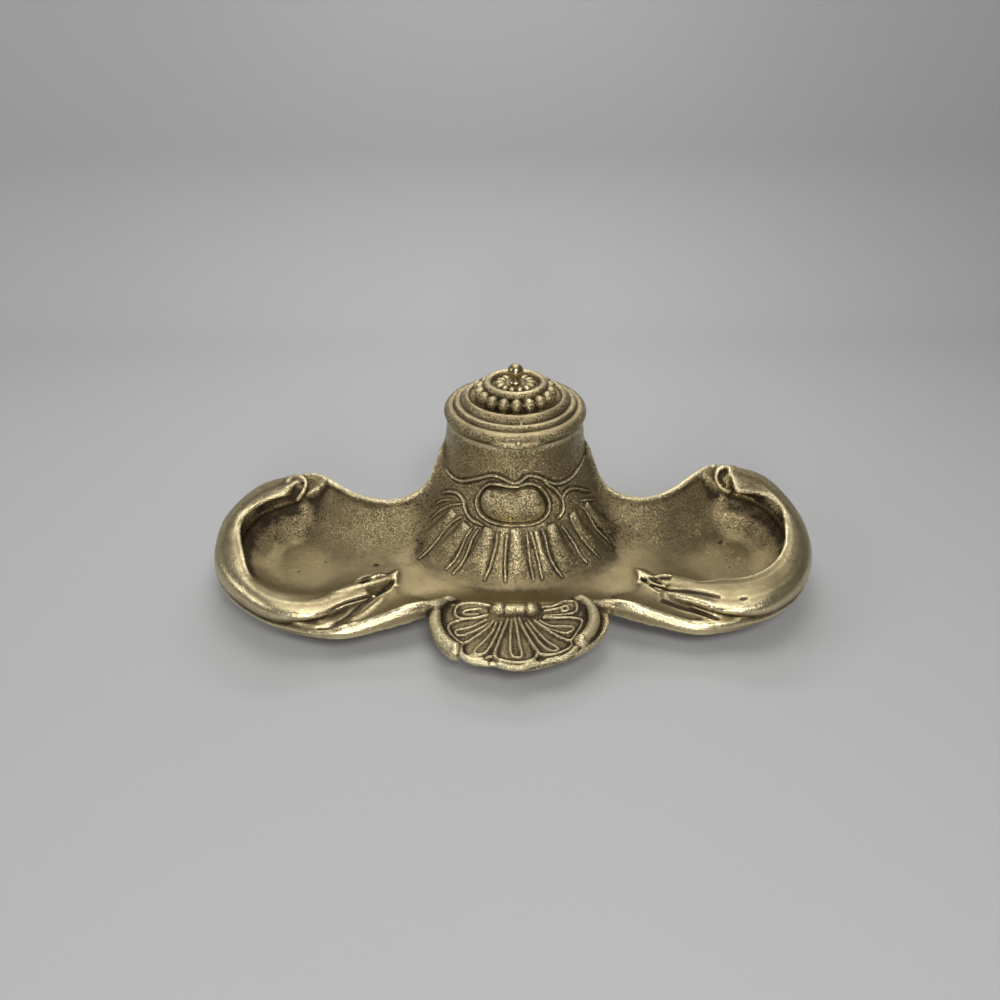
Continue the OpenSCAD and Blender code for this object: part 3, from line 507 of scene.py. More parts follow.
def on_neck(points):
    """Points given as angle from the front and height, on the neck or apron."""
    p = np.array([row[:2] for row in points], float)
    r, a = apron_r(p[:, 1]), np.radians(p[:, 0])
    return np.column_stack([r * np.sin(a), -r * np.cos(a), p[:, 1]])


def seen_at(co):
    """Place in the camera's picture of points from the well's axis."""
    aim = np.array(CAMERA_AIM) / np.linalg.norm(CAMERA_AIM)
    side = np.cross(aim, [0, 0, 1])
    side /= np.linalg.norm(side)
    d = co - CAMERA_PLACE
    depth = d @ aim
    return np.column_stack([PICTURE_MIDDLE + PICTURE_FOCUS * (d @ side) / depth,
                            PICTURE_MIDDLE - PICTURE_FOCUS * (d @ np.cross(side, aim)) / depth])


def wing_relief(co):
    """Folds, creases and hollows of the wings, and how dark they are painted: painted shade in
    the narrow creases, the deep hollows and under each rim's overhanging edge, and dark casting
    flaws at the small shallow spots.
    """
    at = seen_at(lean(co))
    h, dark = np.zeros(len(co)), np.zeros(len(co))
    for path, high, half in FOLDS:
        dist, span, _ = near_path(at, curve(path, 5))
        s = span / (5 * (len(path) - 1))
        h += high * bump(dist, half) * np.clip(0.35 + np.minimum(s, 1 - s) * 5, 0, 1)
        # Narrow sunk creases get painted shade
        dark += 0.6 * bump(dist, half) * (high < 0) * (half < 4)
    for centre, long, short, turn, deep in HOLLOWS:
        c, t = math.cos(math.radians(turn)), math.sin(math.radians(turn))
        d = (at - centre) @ np.array([[c, -t], [t, c]])
        spot = bump(np.hypot(d[:, 0] / long, d[:, 1] / short), 1.0)
        h -= deep * spot
        # The deep hollows by the tails get painted shade; the small shallow spots are dark
        # casting flaws
        dark += spot
    # Painted shade on the bowl's wall just under each rolled rim's overhanging edge
    for edge in (EDGE_LEFT, EDGE_RIGHT):
        path = curve(edge, 4)
        dist, span, _ = near_path(co[:, :2], path)
        above = np.interp(span, np.arange(len(path)), path[:, 2]) - co[:, 2]
        dark += 0.95 * (1 - eased(dist, 1.5, 7.5)) * eased(above, 1.6, 4) \
            * (1 - eased(above, 11, 14))
    return h, np.clip(dark, 0, 1)


def neck_relief(co):
    """Height of the relief over the neck and the apron."""
    h = np.zeros(len(co))
    r = np.hypot(co[:, 0], co[:, 1])
    angle = np.degrees(np.arctan2(co[:, 0], -co[:, 1]))
    for top, mid, low, half, high in GADROONS:
        path = on_neck(curve([top, mid, low], 8))
        dist, span, _ = near_path(co, path)
        s = span / (len(path) - 1)
        reach = half * (0.55 + 0.45 * s) * r / 45
        ends = np.clip(s / 0.1, 0, 1) ** 0.5 * (1 - eased(s, 0.6, 1.0))
        h = np.maximum(h, high * np.clip(1 - (dist / reach) ** 2, 0, 1) * ends)
    lines = [(RIBS, 0.65, 0.6), (WING_LINES, 0.7, 0.6),
             ([WAIST_LINE, RING, STRAND_RIGHT, HOOK_RIGHT, STRAND_LEFT], 0.85, 0.85)]
    cut = np.zeros(len(co))
    for group, half, high in lines:
        for points in group:
            path = on_neck(curve(points, 5))
            dist, span, _ = near_path(co, path)
            s = span / (len(path) - 1)
            thin = 0.6 + 0.4 * np.clip(np.minimum(s, 1 - s) / 0.12, 0, 1)
            h = np.maximum(h, h * 0.3 * bump(dist, half * 2) + high * thin
                           * bump(dist, half * thin))
            cut = np.maximum(cut, 0.35 * high * bump(dist, half * 2.6))
    # The cartouche's pillow swells from its own outline, with a sunk border round it
    flat = np.column_stack([angle * 0.62, co[:, 2]])
    outline = curve(PILLOW + PILLOW[:1], 4) * [0.62, 1]
    dist, _, _ = near_path(flat, outline)
    within = inside(flat, outline) & (co[:, 1] < -20)
    pillow = np.where(within, 2.3 * (1 - (1 - np.clip(dist / 5.5, 0, 1)) ** 2.2), 0)
    sunk = np.where(~within & (co[:, 1] < -20), 0.8 * bump(dist - 0.7, 1.0), 0)
    h = np.maximum(h * ~within, pillow) - np.where((h < 0.25) & ~within, cut, 0) - sunk
    fade = (1 - eased(np.abs(angle), 72, 80)) * (1 - eased(co[:, 2], 51, 54))
    return h * fade * eased(co[:, 2], FLOOR_H - 0.6, FLOOR_H + 0.9)


def shell_relief(co):
    """Height of the relief over the shell in front."""
    q = co[:, :2]
    h = np.zeros(len(co))
    outer = eased(-q[:, 1], 88, 96)
    for points in PETAL_LINES:
        h = np.maximum(h, (0.75 + 0.7 * outer) * bump(near_path(q, curve(points, 5))[0],
                                                      0.85 + 0.7 * outer))
    for points in INNER_LINES:
        h = np.maximum(h, 0.55 * bump(near_path(q, curve(points, 5))[0], 0.7))
    h = np.maximum(h, 0.7 * bump(near_path(q, curve(SHELL_RIM, 6))[0], 1.6))
    for notch in NOTCHES:
        h -= 1.5 * bump(np.linalg.norm(q - notch, axis=1), 2.4)
    h = np.maximum(h, 1.9 * bump(near_path(q, np.array(KNOBS, float))[0], 3.4))
    for knob in KNOBS:
        h = np.maximum(h, 3.1 * bump(np.linalg.norm((q - knob) * [0.85, 1], axis=1), 3.8))
    for path in (curve(SCROLL_LEFT, 6), curve(SCROLL_RIGHT, 6)):
        dist, span, _ = near_path(q, path)
        s = span / (len(path) - 1)
        h = np.maximum(h, (0.9 + 0.6 * s) * bump(dist, 3.4))
        knob = np.linalg.norm(q - path[-1], axis=1)
        h = np.maximum(h, 2.2 * bump(knob, 2.6))
    return h * (1 - eased(co[:, 1], SHELL_Y + 1.5, SHELL_Y + 5))


def shell_top(x, y):
    """The shell's own surface: a shallow dish that falls a little to the front."""
    t = np.clip((SHELL_Y - y) / 34, 0, 1)
    return SHELL_Z + 0.3 - 0.9 * eased(t, 0.02, 0.25) - 0.5 * t + 0 * x


def settings():
    return bpy.context.scene.inkstand


def register_piece(piece, body, slot, material, *nodes):
    piece.data.materials.clear()
    piece.data.materials.append(material)
    for face in piece.data.polygons:
        face.use_smooth = True
    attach(piece, body)
    if nodes:
        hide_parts(*nodes)


def turned(bm, profile, angle=360, start=0, steps=96):
    """Turn a closed profile of (radius, height) points round the Z axis as a closed solid."""
    turn = Matrix.Rotation(math.radians(start), 3, "Z")
    verts = [bm.verts.new(turn @ Vector((r, 0, z))) for r, z in profile]
    full = angle == 360
    if full:
        edges = [bm.edges.new((a, b)) for a, b in zip(verts, verts[1:] + verts[:1])]
        geom = verts + edges
    else:
        face = bm.faces.new(verts)
        geom = [face, *face.edges, *verts]
    bmesh.ops.spin(bm, geom=geom, cent=(0, 0, 0), axis=(0, 0, 1), angle=math.radians(angle),
                   steps=steps, use_merge=full, use_normal_flip=False, use_duplicate=False)
    bmesh.ops.remove_doubles(bm, verts=[v for v in bm.verts if v.is_valid], dist=1e-4)


def block(bm, low, high):
    low, high = Vector(low), Vector(high)
    place = Matrix.Translation((low + high) / 2) @ Matrix.Diagonal((*(high - low), 1))
    bmesh.ops.create_cube(bm, size=1, matrix=place)


def add_sheet(bm, step):
    """The tray's cast sheet, from the back edge to the front lip."""
    rim = curve((INNER + RIDGE) / 2, 6)[:, :2]
    front = curve(FRONT_LIP[9:], 6)[:, :2]
    half = np.vstack([EDGE_CURVE[:, :2], rim, front])
    outline = np.vstack([half, [[0, SHELL_Y - 3]], (half * [-1, 1])[::-1]])
    sheet(bm, outline, WAIST_R - 1.4, top_z, CAST_WALL, step)


def add_wing(bm):
    """Right half of the rims: back bead, rolled rim, skirt, fold and the scroll's start."""
    path = EDGE_CURVE[6:] + [0.1, 0.3, -0.75]
    tube(bm, path, np.interp(np.arange(len(path)), [0, 8, len(path) - 1], [1.1, 1.5, 1.6]))
    inner, ridge, outer = curve(ROLL_INNER, 6), curve(ROLL_RIDGE, 6), curve(ROLL_OUTER, 6)
    t = np.radians(np.arange(0, 181, 10))[None, :, None]
    middle = ((inner + outer) / 2)[:, None]
    arch = middle + (inner - outer)[:, None] / 2 * np.cos(t) \
        + (ridge[:, None] - middle) * np.sin(t) ** 0.8
    keel = inner * 0.8 + outer * 0.2 - [0, 0, 4]
    rows = np.concatenate([arch, middle - [0, 0, 2.6], keel[:, None], arch[:, :1]], 1)
    surface(bm, rows[:-6], caps=True)
    upper, lower = curve(FRONT_LIP, 6), curve(SKIRT_EDGE, 6)
    ahead = np.gradient(upper[:, :2], axis=0)
    ahead /= np.linalg.norm(ahead, axis=1)[:, None]
    out = np.column_stack([-ahead[:, 1], ahead[:, 0], np.zeros(len(ahead))])
    ring = [upper - 2.6 * out - [0, 0, 1.6], upper - 1.3 * out + [0, 0, 0.2],
            upper + 0.3 * out, upper * 0.7 + lower * 0.3 + 1.1 * out,
            upper * 0.3 + lower * 0.7 + 0.6 * out, lower, lower - 1.56 * out]
    rows = np.stack(ring + ring[:1], 1)
    surface(bm, rows, caps=True)
    tail = curve([outer[60] + [-2.6, 1.4, -0.2]] + ROLL_OUTER[:5:-1], 6)
    tail[-1] += [0, 1.6, 0.6]
    front = curve([np.array(FRONT_LIP[10]) + [-3, 1.2, -1.2]]
                  + [FRONT_LIP[k] for k in (10, 8, 6, 5)]
                  + [np.array(FRONT_LIP[3]) + [-5, -0.6, 0.4]], 6)
    n = min(len(tail), len(front))
    s = np.linspace(0, 1, n)
    tail = resampled(tail, np.linspace(0, 1, len(tail)), s)
    front = resampled(front, np.linspace(0, 1, len(front)), s)
    sag = -4.2 * (1 - s) ** 1.3
    w = np.linspace(0, 1, 9)
    top = [tail * (1 - u) + front * u + np.outer(sag * 4 * u * (1 - u), [0, 0, 1]) for u in w]
    rows = np.stack(top + [p - [0, 0, CAST_WALL] for p in top[::-1]] + top[:1], 1)
    surface(bm, rows, caps=True)
    for place, r in (((97.5, 1.2, 24.6), 3.2), ((100, 0.8, 25), 3.8), ((103, 0.5, 25), 4)):
        ball(bm, place, r)


def add_rim_ends(bm):
    """Each side's own overhanging edge, tail and curl."""
    for side, edge, tail, curl in ((-1, EDGE_LEFT, TAIL_LEFT, CURL_LEFT),
                                   (1, EDGE_RIGHT, TAIL_RIGHT, CURL_RIGHT)):
        near = curve(edge, 6)
        ridge = curve(ROLL_RIDGE, 6) * [side, 1, 1]
        far = resampled(ridge, along(ridge), along(near))
        near = near - [0, 0, 1.1]
        across, up = far - near, np.array([0, 0, 1.0])
        ring = [near + 0.9 * up, near + 0.3 * across + 1.2 * up, near + 0.65 * across + 0.9 * up,
                far + 0.2 * up, far - 3 * up, near + 0.55 * across - 2.4 * up,
                near + 0.2 * across - 1.6 * up, near - 0.9 * up]
        surface(bm, np.stack(ring + ring[:1], 1)[:-15], caps=True)
        tube(bm, near, np.interp(np.arange(len(near)), [0, 8, len(near) - 14, len(near) - 1],
                                 [0.9, 1.15, 1.1, 0.6]))
        body = curve(tail, 6)
        tube(bm, body[:, :3], body[:, 3])
        for end in (body[0], body[-1]):
            ball(bm, end[:3], end[3])
        tube(bm, curve(curl, 6), 1.0, sides=12)
    ball(bm, (-101.2, -3.4, 27.8), 2.0)


def add_neck(bm):
    """Neck with its seat, drum, apron, hinge pad and the bosses over the feet."""
    bore, ledge, seat = NECK_R - 3, NECK_R - 4.9, NECK_H - 3
    foot = NECK_H - 28
    turned(bm, [(ledge, seat - 3), (ledge, seat), (NECK_R - 2, seat), (NECK_R - 2, NECK_H),
                (NECK_R - 0.9, NECK_H), (NECK_R - 0.1, NECK_H - 1.2), (NECK_R, NECK_H - 4),
                (NECK_R + 0.5, NECK_H - 9), (WAIST_R - 0.8, WAIST_Z + 3), (WAIST_R, WAIST_Z),
                (WAIST_R + 0.8, foot), (WAIST_R - 1.6, foot), (bore, WAIST_Z),
                (bore, seat - 3)])
    turned(bm, [(WAIST_R - 1.8, foot + 4.4), (WAIST_R + 0.6, foot + 4.4),
                (WAIST_R + 1.6, FLOOR_H + 2), (WAIST_R + 0.6, FLOOR_H - 1),
                (WAIST_R - 2, FLOOR_H - 1)], 216, -18, 64)
    z = np.linspace(WAIST_Z, 11, 27)
    r = apron_r(z)
    under = np.maximum(r - CAST_WALL * 1.2, WAIST_R - 1.2)
    turned(bm, list(zip(r, z)) + list(zip(under[::-1], z[::-1] - CAST_WALL * 0.4)), 156, 192, 60)
    pad = box_of("neck_hinge_leaf")[0].y - WELL_Y
    block(bm, (-8.5, NECK_R - 1.7, NECK_H - 9.9), (8.5, pad, NECK_H - 0.8))
    for node in FEET:
        low, high = box_of(node)
        x, y = (low.x + high.x) / 2, (low.y + high.y) / 2 - WELL_Y
        height = (top_z(np.array([x]), np.array([y]))[0] - 0.8 if y < 0 else 15.5) - BOSS_Z
        place = Matrix.Translation((x, y, BOSS_Z + height / 2))
        bmesh.ops.create_cone(bm, cap_ends=True, segments=40, radius1=BOSS_R, radius2=BOSS_R,
                              depth=height, matrix=place)


def add_shell(bm, step):
    """The shell's dish, its thin rim and the scroll at each side."""
    half = curve([(30, -66), (34, -72), (33.4, -79), (28.8, -86.5), (21.5, -92.6), (12, -97),
                  (4, -99.6), (-1, -100)], 6)
    outline = np.vstack([[[-28, SHELL_Y - 1], [28, SHELL_Y - 1]], half,
                         (half * [-1, 1])[::-1]])
    sheet(bm, outline, 0, shell_top, 3, step)
    tube(bm, curve([(*p, 11.6) for p in SHELL_RIM], 6), 1.0)
    for path in (SCROLL_LEFT, SCROLL_RIGHT):
        bar = curve([(*p, 12.6 - 0.25 * k) for k, p in enumerate(path)], 6)
        bar[:, 2] -= 0.5
        tube(bm, bar, np.linspace(2.2, 2.9, len(bar)))
        ball(bm, bar[-1], 3)
        ball(bm, bar[0] - [0, 0, 0.6], 2.2)


def lean(co):
    """The casting's own unevenness: the right back edge stands higher than the left one."""
    x, y, z = co.T
    back = eased(y, -24, 2) * eased(np.abs(x), 55, 85) * eased(z, 14, 24)
    co = co.copy()
    co[:, 2] += np.where(x > 0, 1.7, -0.8) * back
    co[:, 0] -= np.where(x > 0, 0.9, 1.3) * eased(np.abs(x), 105, 122)
    return co


class Shade:
    """A shader socket that ordinary arithmetic can be written with."""

    def __init__(self, finish, socket):
        self.finish, self.socket = finish, socket

    def _math(self, operation, a, b):
        return self.finish.node("ShaderNodeMath", {"operation": operation}, {0: a, 1: b})

    def __add__(self, other):
        return self._math("ADD", self, other)

    def __sub__(self, other):
        return self._math("SUBTRACT", self, other)

    def __rsub__(self, other):
        return self._math("SUBTRACT", other, self)

    def __mul__(self, other):
        return self._math("MULTIPLY", self, other)

    __radd__, __rmul__ = __add__, __mul__

    def __pow__(self, other):
        return self._math("POWER", self, other)

    def clipped(self):
        return self._math("MINIMUM", self._math("MAXIMUM", self, 0.0), 1.0)

    def step(self, low, high):
        return self.finish.node("ShaderNodeMapRange", {"interpolation_type": "SMOOTHSTEP"},
                                {"Value": self, "From Min": low, "From Max": high})


class Finish:
    """A material whose nodes come from one method."""

    def __init__(self, name):
        self.material = bpy.data.materials.get(name) or bpy.data.materials.new(name)
        self.material.use_nodes = True
        self.tree = self.material.node_tree
        self.tree.nodes.clear()

    def node(self, kind, settings=None, sockets=None, out=0):
        made = self.tree.nodes.new(kind)
        for key, value in (settings or {}).items():
            setattr(made, key, value)
        for key, value in (sockets or {}).items():
            if isinstance(value, Shade):
                self.tree.links.new(value.socket, made.inputs[key])
            else:
                made.inputs[key].default_value = value
        return Shade(self, made.outputs[out]) if made.outputs else made

    def mix(self, amount, first, second):
        return self.node("ShaderNodeMix", {"data_type": "RGBA"},
                         {0: amount, 6: first, 7: second}, 2)

    def noise(self, place, scale, detail=2.0, rough=0.5):
        return self.node("ShaderNodeTexNoise", None, {"Vector": place, "Scale": scale,
                         "Detail": detail, "Roughness": rough})

    def layer(self, name):
        return self.node("ShaderNodeAttribute", {"attribute_name": name}, None, 2)

    def place(self):
        return self.node("ShaderNodeTexCoord", None, None, 3)

    def close(self, **sockets):
        shader = self.node("ShaderNodeBsdfPrincipled", None,
                           {key.replace("_", " "): value for key, value in sockets.items()})
        self.node("ShaderNodeOutputMaterial", None, {"Surface": shader})
        return self.material


def brass(name, body, pale, dark, shine, pitting):
    """Aged brass: dark tarnish and painted shade in the recesses, rubbed pale crests, pale
    specks painted as glints, and a pitted skin.
    """
    f = Finish(name)
    at = f.place()
    recess, crest, pits = f.layer("recess"), f.layer("crest"), f.layer("pits")
    broad = f.noise(at, 48.0, 3.0)
    blotch = f.noise(at, 230.0, 3.0, 0.6)
    coarse = f.noise(at, 1300.0, 2.0, 0.6)
    grain = f.noise(at, 2600.0, 1.0)
    speck = (coarse + (blotch - 0.5) * 0.3).step(0.46, 0.66) * (0.12 + pits * 0.88) * pitting
    # Dark mix: the casting's tarnish in its hollows, dark pitting specks and random mottling,
    # plus the painted shade that the tray puts in the recess layer
    patina_and_shade = (recess * (0.9 + (blotch - 0.5) * 1.2) + speck * 0.55
              + (broad - 0.4) * 1.1).clipped()
    # Pale mix: rubbed crests, plus pale specks on the pitted skin that are painted glints
    wear_and_glints = (crest * (0.5 + coarse) + (0.5 - coarse) * pits * 1.7 - patina_and_shade * 0.5).clipped()
    colour = f.mix(patina_and_shade, body, dark)
    colour = f.mix(wear_and_glints, colour, pale)
    height = (coarse * 0.8 + grain * 0.2 - speck * 0.4) * (0.08 + pits * 0.92) \
        + grain * 0.1 + blotch * 0.25
    normal = f.node("ShaderNodeBump", None, {"Strength": min(0.8 * pitting + 0.1, 1.0),
                    "Distance": 0.0007, "Height": height})
    return f.close(Base_Color=colour, Metallic=1 - patina_and_shade * 0.35,
                   Roughness=(shine + patina_and_shade * 0.22 + (blotch - 0.5) * 0.14 - wear_and_glints * 0.08
                              + (1 - pits) * 0.06).clipped(),
                   Normal=normal)


class InkstandSettings(bpy.types.PropertyGroup):
    skin_step: bpy.props.FloatProperty(
        name="Skin step", description="Size of the casting's faces away from its relief",
        default=0.00075, min=0.0004, max=0.003, subtype="DISTANCE", unit="LENGTH")
    lid_step: bpy.props.FloatProperty(
        name="Lid step", description="Size of the lid's faces",
        default=0.00038, min=0.0003, max=0.002, subtype="DISTANCE", unit="LENGTH")
    bead_count: bpy.props.IntProperty(
        name="Beads", description="Number of beads round the lid", default=18, min=8, max=40)
    petal_count: bpy.props.IntProperty(
        name="Petals", description="Number of petals round the finial", default=14, min=6,
        max=30)
    brass_colour: bpy.props.FloatVectorProperty(
        name="Brass", description="Colour of the aged brass", default=(0.4, 0.315, 0.165),
        subtype="COLOR", min=0, max=1)
    # This pale colour serves both the rubbed crests and the painted glints on the pitted skin
    pale_colour: bpy.props.FloatVectorProperty(
        name="Worn brass", description="Colour where the brass is rubbed",
        default=(0.88, 0.76, 0.46), subtype="COLOR", min=0, max=1)
    # This dark colour serves both the tarnish in the hollows and the painted shade in the recess
    # layer
    patina_and_shade_colour: bpy.props.FloatVectorProperty(
        name="Patina", description="Colour of the dark patina in the recesses",
        default=(0.045, 0.03, 0.013), subtype="COLOR", min=0, max=1)
    shine: bpy.props.FloatProperty(
        name="Roughness", description="Roughness of the clean brass", default=0.23, min=0.05,
        max=1, subtype="FACTOR")
    pitting: bpy.props.FloatProperty(
        name="Pitting", description="How strongly the casting is pitted", default=1, min=0,
        max=2, subtype="FACTOR")
    glass_colour: bpy.props.FloatVectorProperty(
        name="Glass", description="Tint of the ink pot's glass", default=(0.87, 0.92, 0.9),
        subtype="COLOR", min=0, max=1)
    floor_colour: bpy.props.FloatVectorProperty(
        name="Floor", description="Colour of the floor and the backdrop",
        default=(0.5, 0.5, 0.5), subtype="COLOR", min=0, max=1)


def colour4(value):
    return (*value, 1.0)


class INKSTAND_OT_finishes(bpy.types.Operator):
    """Make the brass, glass and backdrop materials"""

    bl_idname = "inkstand.finishes"
    bl_label = "Finishes"

    def execute(self, context):
        s = settings()
        body, pale, dark = (colour4(c) for c in (s.brass_colour, s.pale_colour,
                                                 s.patina_and_shade_colour))
        brass("cast_brass", body, pale, dark, s.shine, s.pitting)
        brass("turned_brass", body, pale, dark, s.shine * 0.8, s.pitting * 0.35)
        f = Finish("pot_glass")
        haze = f.noise(f.place(), 220.0, 3.0)
        f.close(Base_Color=f.mix(haze.step(0.45, 0.75) * 0.35, colour4(s.glass_colour),
                                 (0.7, 0.78, 0.74, 1)),
                Roughness=0.05 + haze * 0.08, Transmission_Weight=0.85, IOR=1.5)
        f = Finish("backdrop")
        soft = f.noise(f.place(), 6.0, 2.0)
        grey = colour4(s.floor_colour)
        shade = f.mix(soft, tuple(0.97 * c for c in grey[:3]) + (1,), grey)
        f.close(Base_Color=shade, Roughness=0.9, Specular_IOR_Level=0.1)
        return {"FINISHED"}


def finish(name):
    return bpy.data.materials[name]


def keep_normals(mesh):
    """Shade a cut piece with the whole casting's normals, so that no seam shows."""
    layers = [mesh.attributes["normal_" + axis] for axis in "xyz"]
    normals = np.zeros((len(mesh.vertices), 3), np.float32)
    for k, layer in enumerate(layers):
        values = np.zeros(len(mesh.vertices), np.float32)
        layer.data.foreach_get("value", values)
        normals[:, k] = values
    for axis in "xyz":
        mesh.attributes.remove(mesh.attributes["normal_" + axis])
    normals /= np.linalg.norm(normals, axis=1)[:, None] + 1e-9
    mesh.normals_split_custom_set_from_vertices(normals)


def wear(skin, small, wide, dark=0.0, rubbed=1.0):
    """Recess and crest layers from the skin's own hollows, small ones and wide ones; dark adds
    painted shade to the recess layer, and on the wings some dark casting flaws.
    """
    recess = np.clip(small * 7, 0, 1) * 0.7 + np.clip(wide * 1.2, 0, 1) * 0.6 + dark
    crest = (np.clip(-small * 9, 0, 1) * 0.8 + np.clip(-wide * 1.4, 0, 1) * 0.2) * rubbed
    skin.set_layer("recess", np.clip(recess, 0, 1))
    skin.set_layer("crest", np.clip(crest, 0, 1))


def cut_at_x(bm, keep_low, keep_high):
    """Copy of a closed mesh between two X planes, with flat caps."""
    part = bm.copy()
    for x, sign in ((keep_low, -1), (keep_high, 1)):
        if x is None:
            continue
        geom = [*part.verts, *part.edges, *part.faces]
        cut = bmesh.ops.bisect_plane(part, geom=geom, dist=1e-5, plane_co=(x, 0, 0),
                                     plane_no=(sign, 0, 0), clear_outer=True)["geom_cut"]
        edges = [e for e in cut if isinstance(e, bmesh.types.BMEdge) and e.is_valid]
        bmesh.ops.holes_fill(part, edges=edges, sides=0)
    return part


class INKSTAND_OT_tray(bpy.types.Operator):
    """Cast tray with its bowls, rolled rims, shell and neck"""

    bl_idname = "inkstand.tray"
    bl_label = "Tray"

    def execute(self, context):
        step = settings().skin_step / MM * 1
        bm = bmesh.new()
        add_wing(bm)
        bmesh.ops.mirror(bm, geom=[*bm.verts, *bm.edges, *bm.faces], axis="X",
                         merge_dist=-1)
        add_rim_ends(bm)
        add_sheet(bm, step * 1.2)
        add_neck(bm)
        add_shell(bm, step * 1.2)
        bm = remeshed(bm, step)
        skin = Skin(bm)
        skin.set_layer("wide", skin.hollows(60))
        near = [e for e in bm.edges if self.has_relief((e.verts[0].co + e.verts[1].co) / 2)]
        bmesh.ops.subdivide_edges(bm, edges=near, cuts=1, use_grid_fill=True)
        skin = Skin(bm)
        skin.co = skin.smoothed(skin.co, 3)
        normals = skin.normals()
        high, dark = self.relief(skin.co, normals)
        skin.co = skin.co + normals * high[:, None]
        skin.co = lean(skin.co)
        size = np.linalg.norm(skin.co[skin.edges[:, 0]] - skin.co[skin.edges[:, 1]], axis=1)
        size = sum(np.bincount(k, size, len(skin.co)) for k in skin.edges.T) / skin.count[:, 0]
        fine = eased(size, 0.55 * step, 0.8 * step)
        small = skin.hollows(5) * fine + skin.hollows(20) * (1 - fine)
        wide = skin.layer("wide") + skin.smoothed(small[:, None], 3)[:, 0]
        # The recess layer also gets the painted shade and dark flaws held in dark
        wear(skin, small, wide, dark)
        normals = skin.normals()
        skin.set_layer("pits", self.pits(skin.co, normals))
        for axis, values in zip("xyz", normals.T):
            skin.set_layer("normal_" + axis, values)
        for name, low, high in (("tray_left", None, -CUT_X), ("tray_middle", -CUT_X, CUT_X),
                                ("tray_right", CUT_X, None)):
            piece = to_piece(cut_at_x(bm, low, high), name)
            register_piece(piece, "stand", "cast_brass", finish("cast_brass"), "tray")
            keep_normals(piece.data)
        bm.free()
        return {"FINISHED"}

    @staticmethod
    def has_relief(p):
        r = math.hypot(p.x, p.y)
        if p.y < SHELL_Y + 5 and abs(p.x) < 36:
            return p.z > 8.4
        on_apron = 9 < p.z < 52 and p.y < 0 and abs(p.x) < -p.y * 4.6
        return on_apron and r > WAIST_R - 3 and r > apron_r(p.z) - 2

    @staticmethod
    def relief(co, normals):
        h = np.zeros(len(co))
        r = np.hypot(co[:, 0], co[:, 1])
        neck = (co[:, 1] < 5) & (co[:, 2] > 8.8) & (co[:, 2] < 54) & (r > WAIST_R - 4) \
            & (r > apron_r(co[:, 2]) - 2.2) & (r < 62) & (normals[:, 2] > -0.3)
        h[neck] = neck_relief(co[neck])
        shell = (co[:, 1] < SHELL_Y + 5) & (np.abs(co[:, 0]) < 38) & (normals[:, 2] > 0.05)
        h[shell] = shell_relief(co[shell]) * np.clip(normals[shell, 2] * 1.6, 0, 1)
        # Painted shade: a dark band at the top of the neck, just under the lid's brim
        dark = np.where((co[:, 2] > NECK_H - 1.4) & (r > NECK_R - 1.5), 1.0, 0.0)
        # Darker along each shell scroll, fading out near its end
        for path in (curve(SCROLL_LEFT, 6), curve(SCROLL_RIGHT, 6)):
            dist, span, _ = near_path(co[:, :2], path)
            dark += 0.5 * (1 - eased(dist, 2, 5)) * (1 - eased(span / len(path), 0.7, 0.95))
        wing = (np.abs(co[:, 0]) > 46) & (normals[:, 2] > 0) & (normals[:, 1] < 0.8)
        h[wing], dark[wing] = wing_relief(co[wing])
        return h, dark

    @staticmethod
    def pits(co, normals):
        """Where the skin is coarse: back walls, neck, flutes and shell, not floor and rolls.
        Coarse places also get pale specks painted as glints.
        """
        x, y, z = co.T
        steep = 1 - eased(normals[:, 2], 0.8, 0.99)
        back = eased(y, -45, -22)
        neck = 1 - eased(np.hypot(x, y), 48, 56)
        shell = 1 - eased(y, SHELL_Y - 4, SHELL_Y + 2)
        coarse = np.maximum.reduce([back * (0.35 + 0.65 * steep), neck * (0.3 + 0.7 * steep),
                                    shell * (np.abs(x) < 36) * 0.8])
        return np.clip(0.12 + 0.88 * coarse + 0.2 * (normals[:, 2] < 0.3), 0, 1)


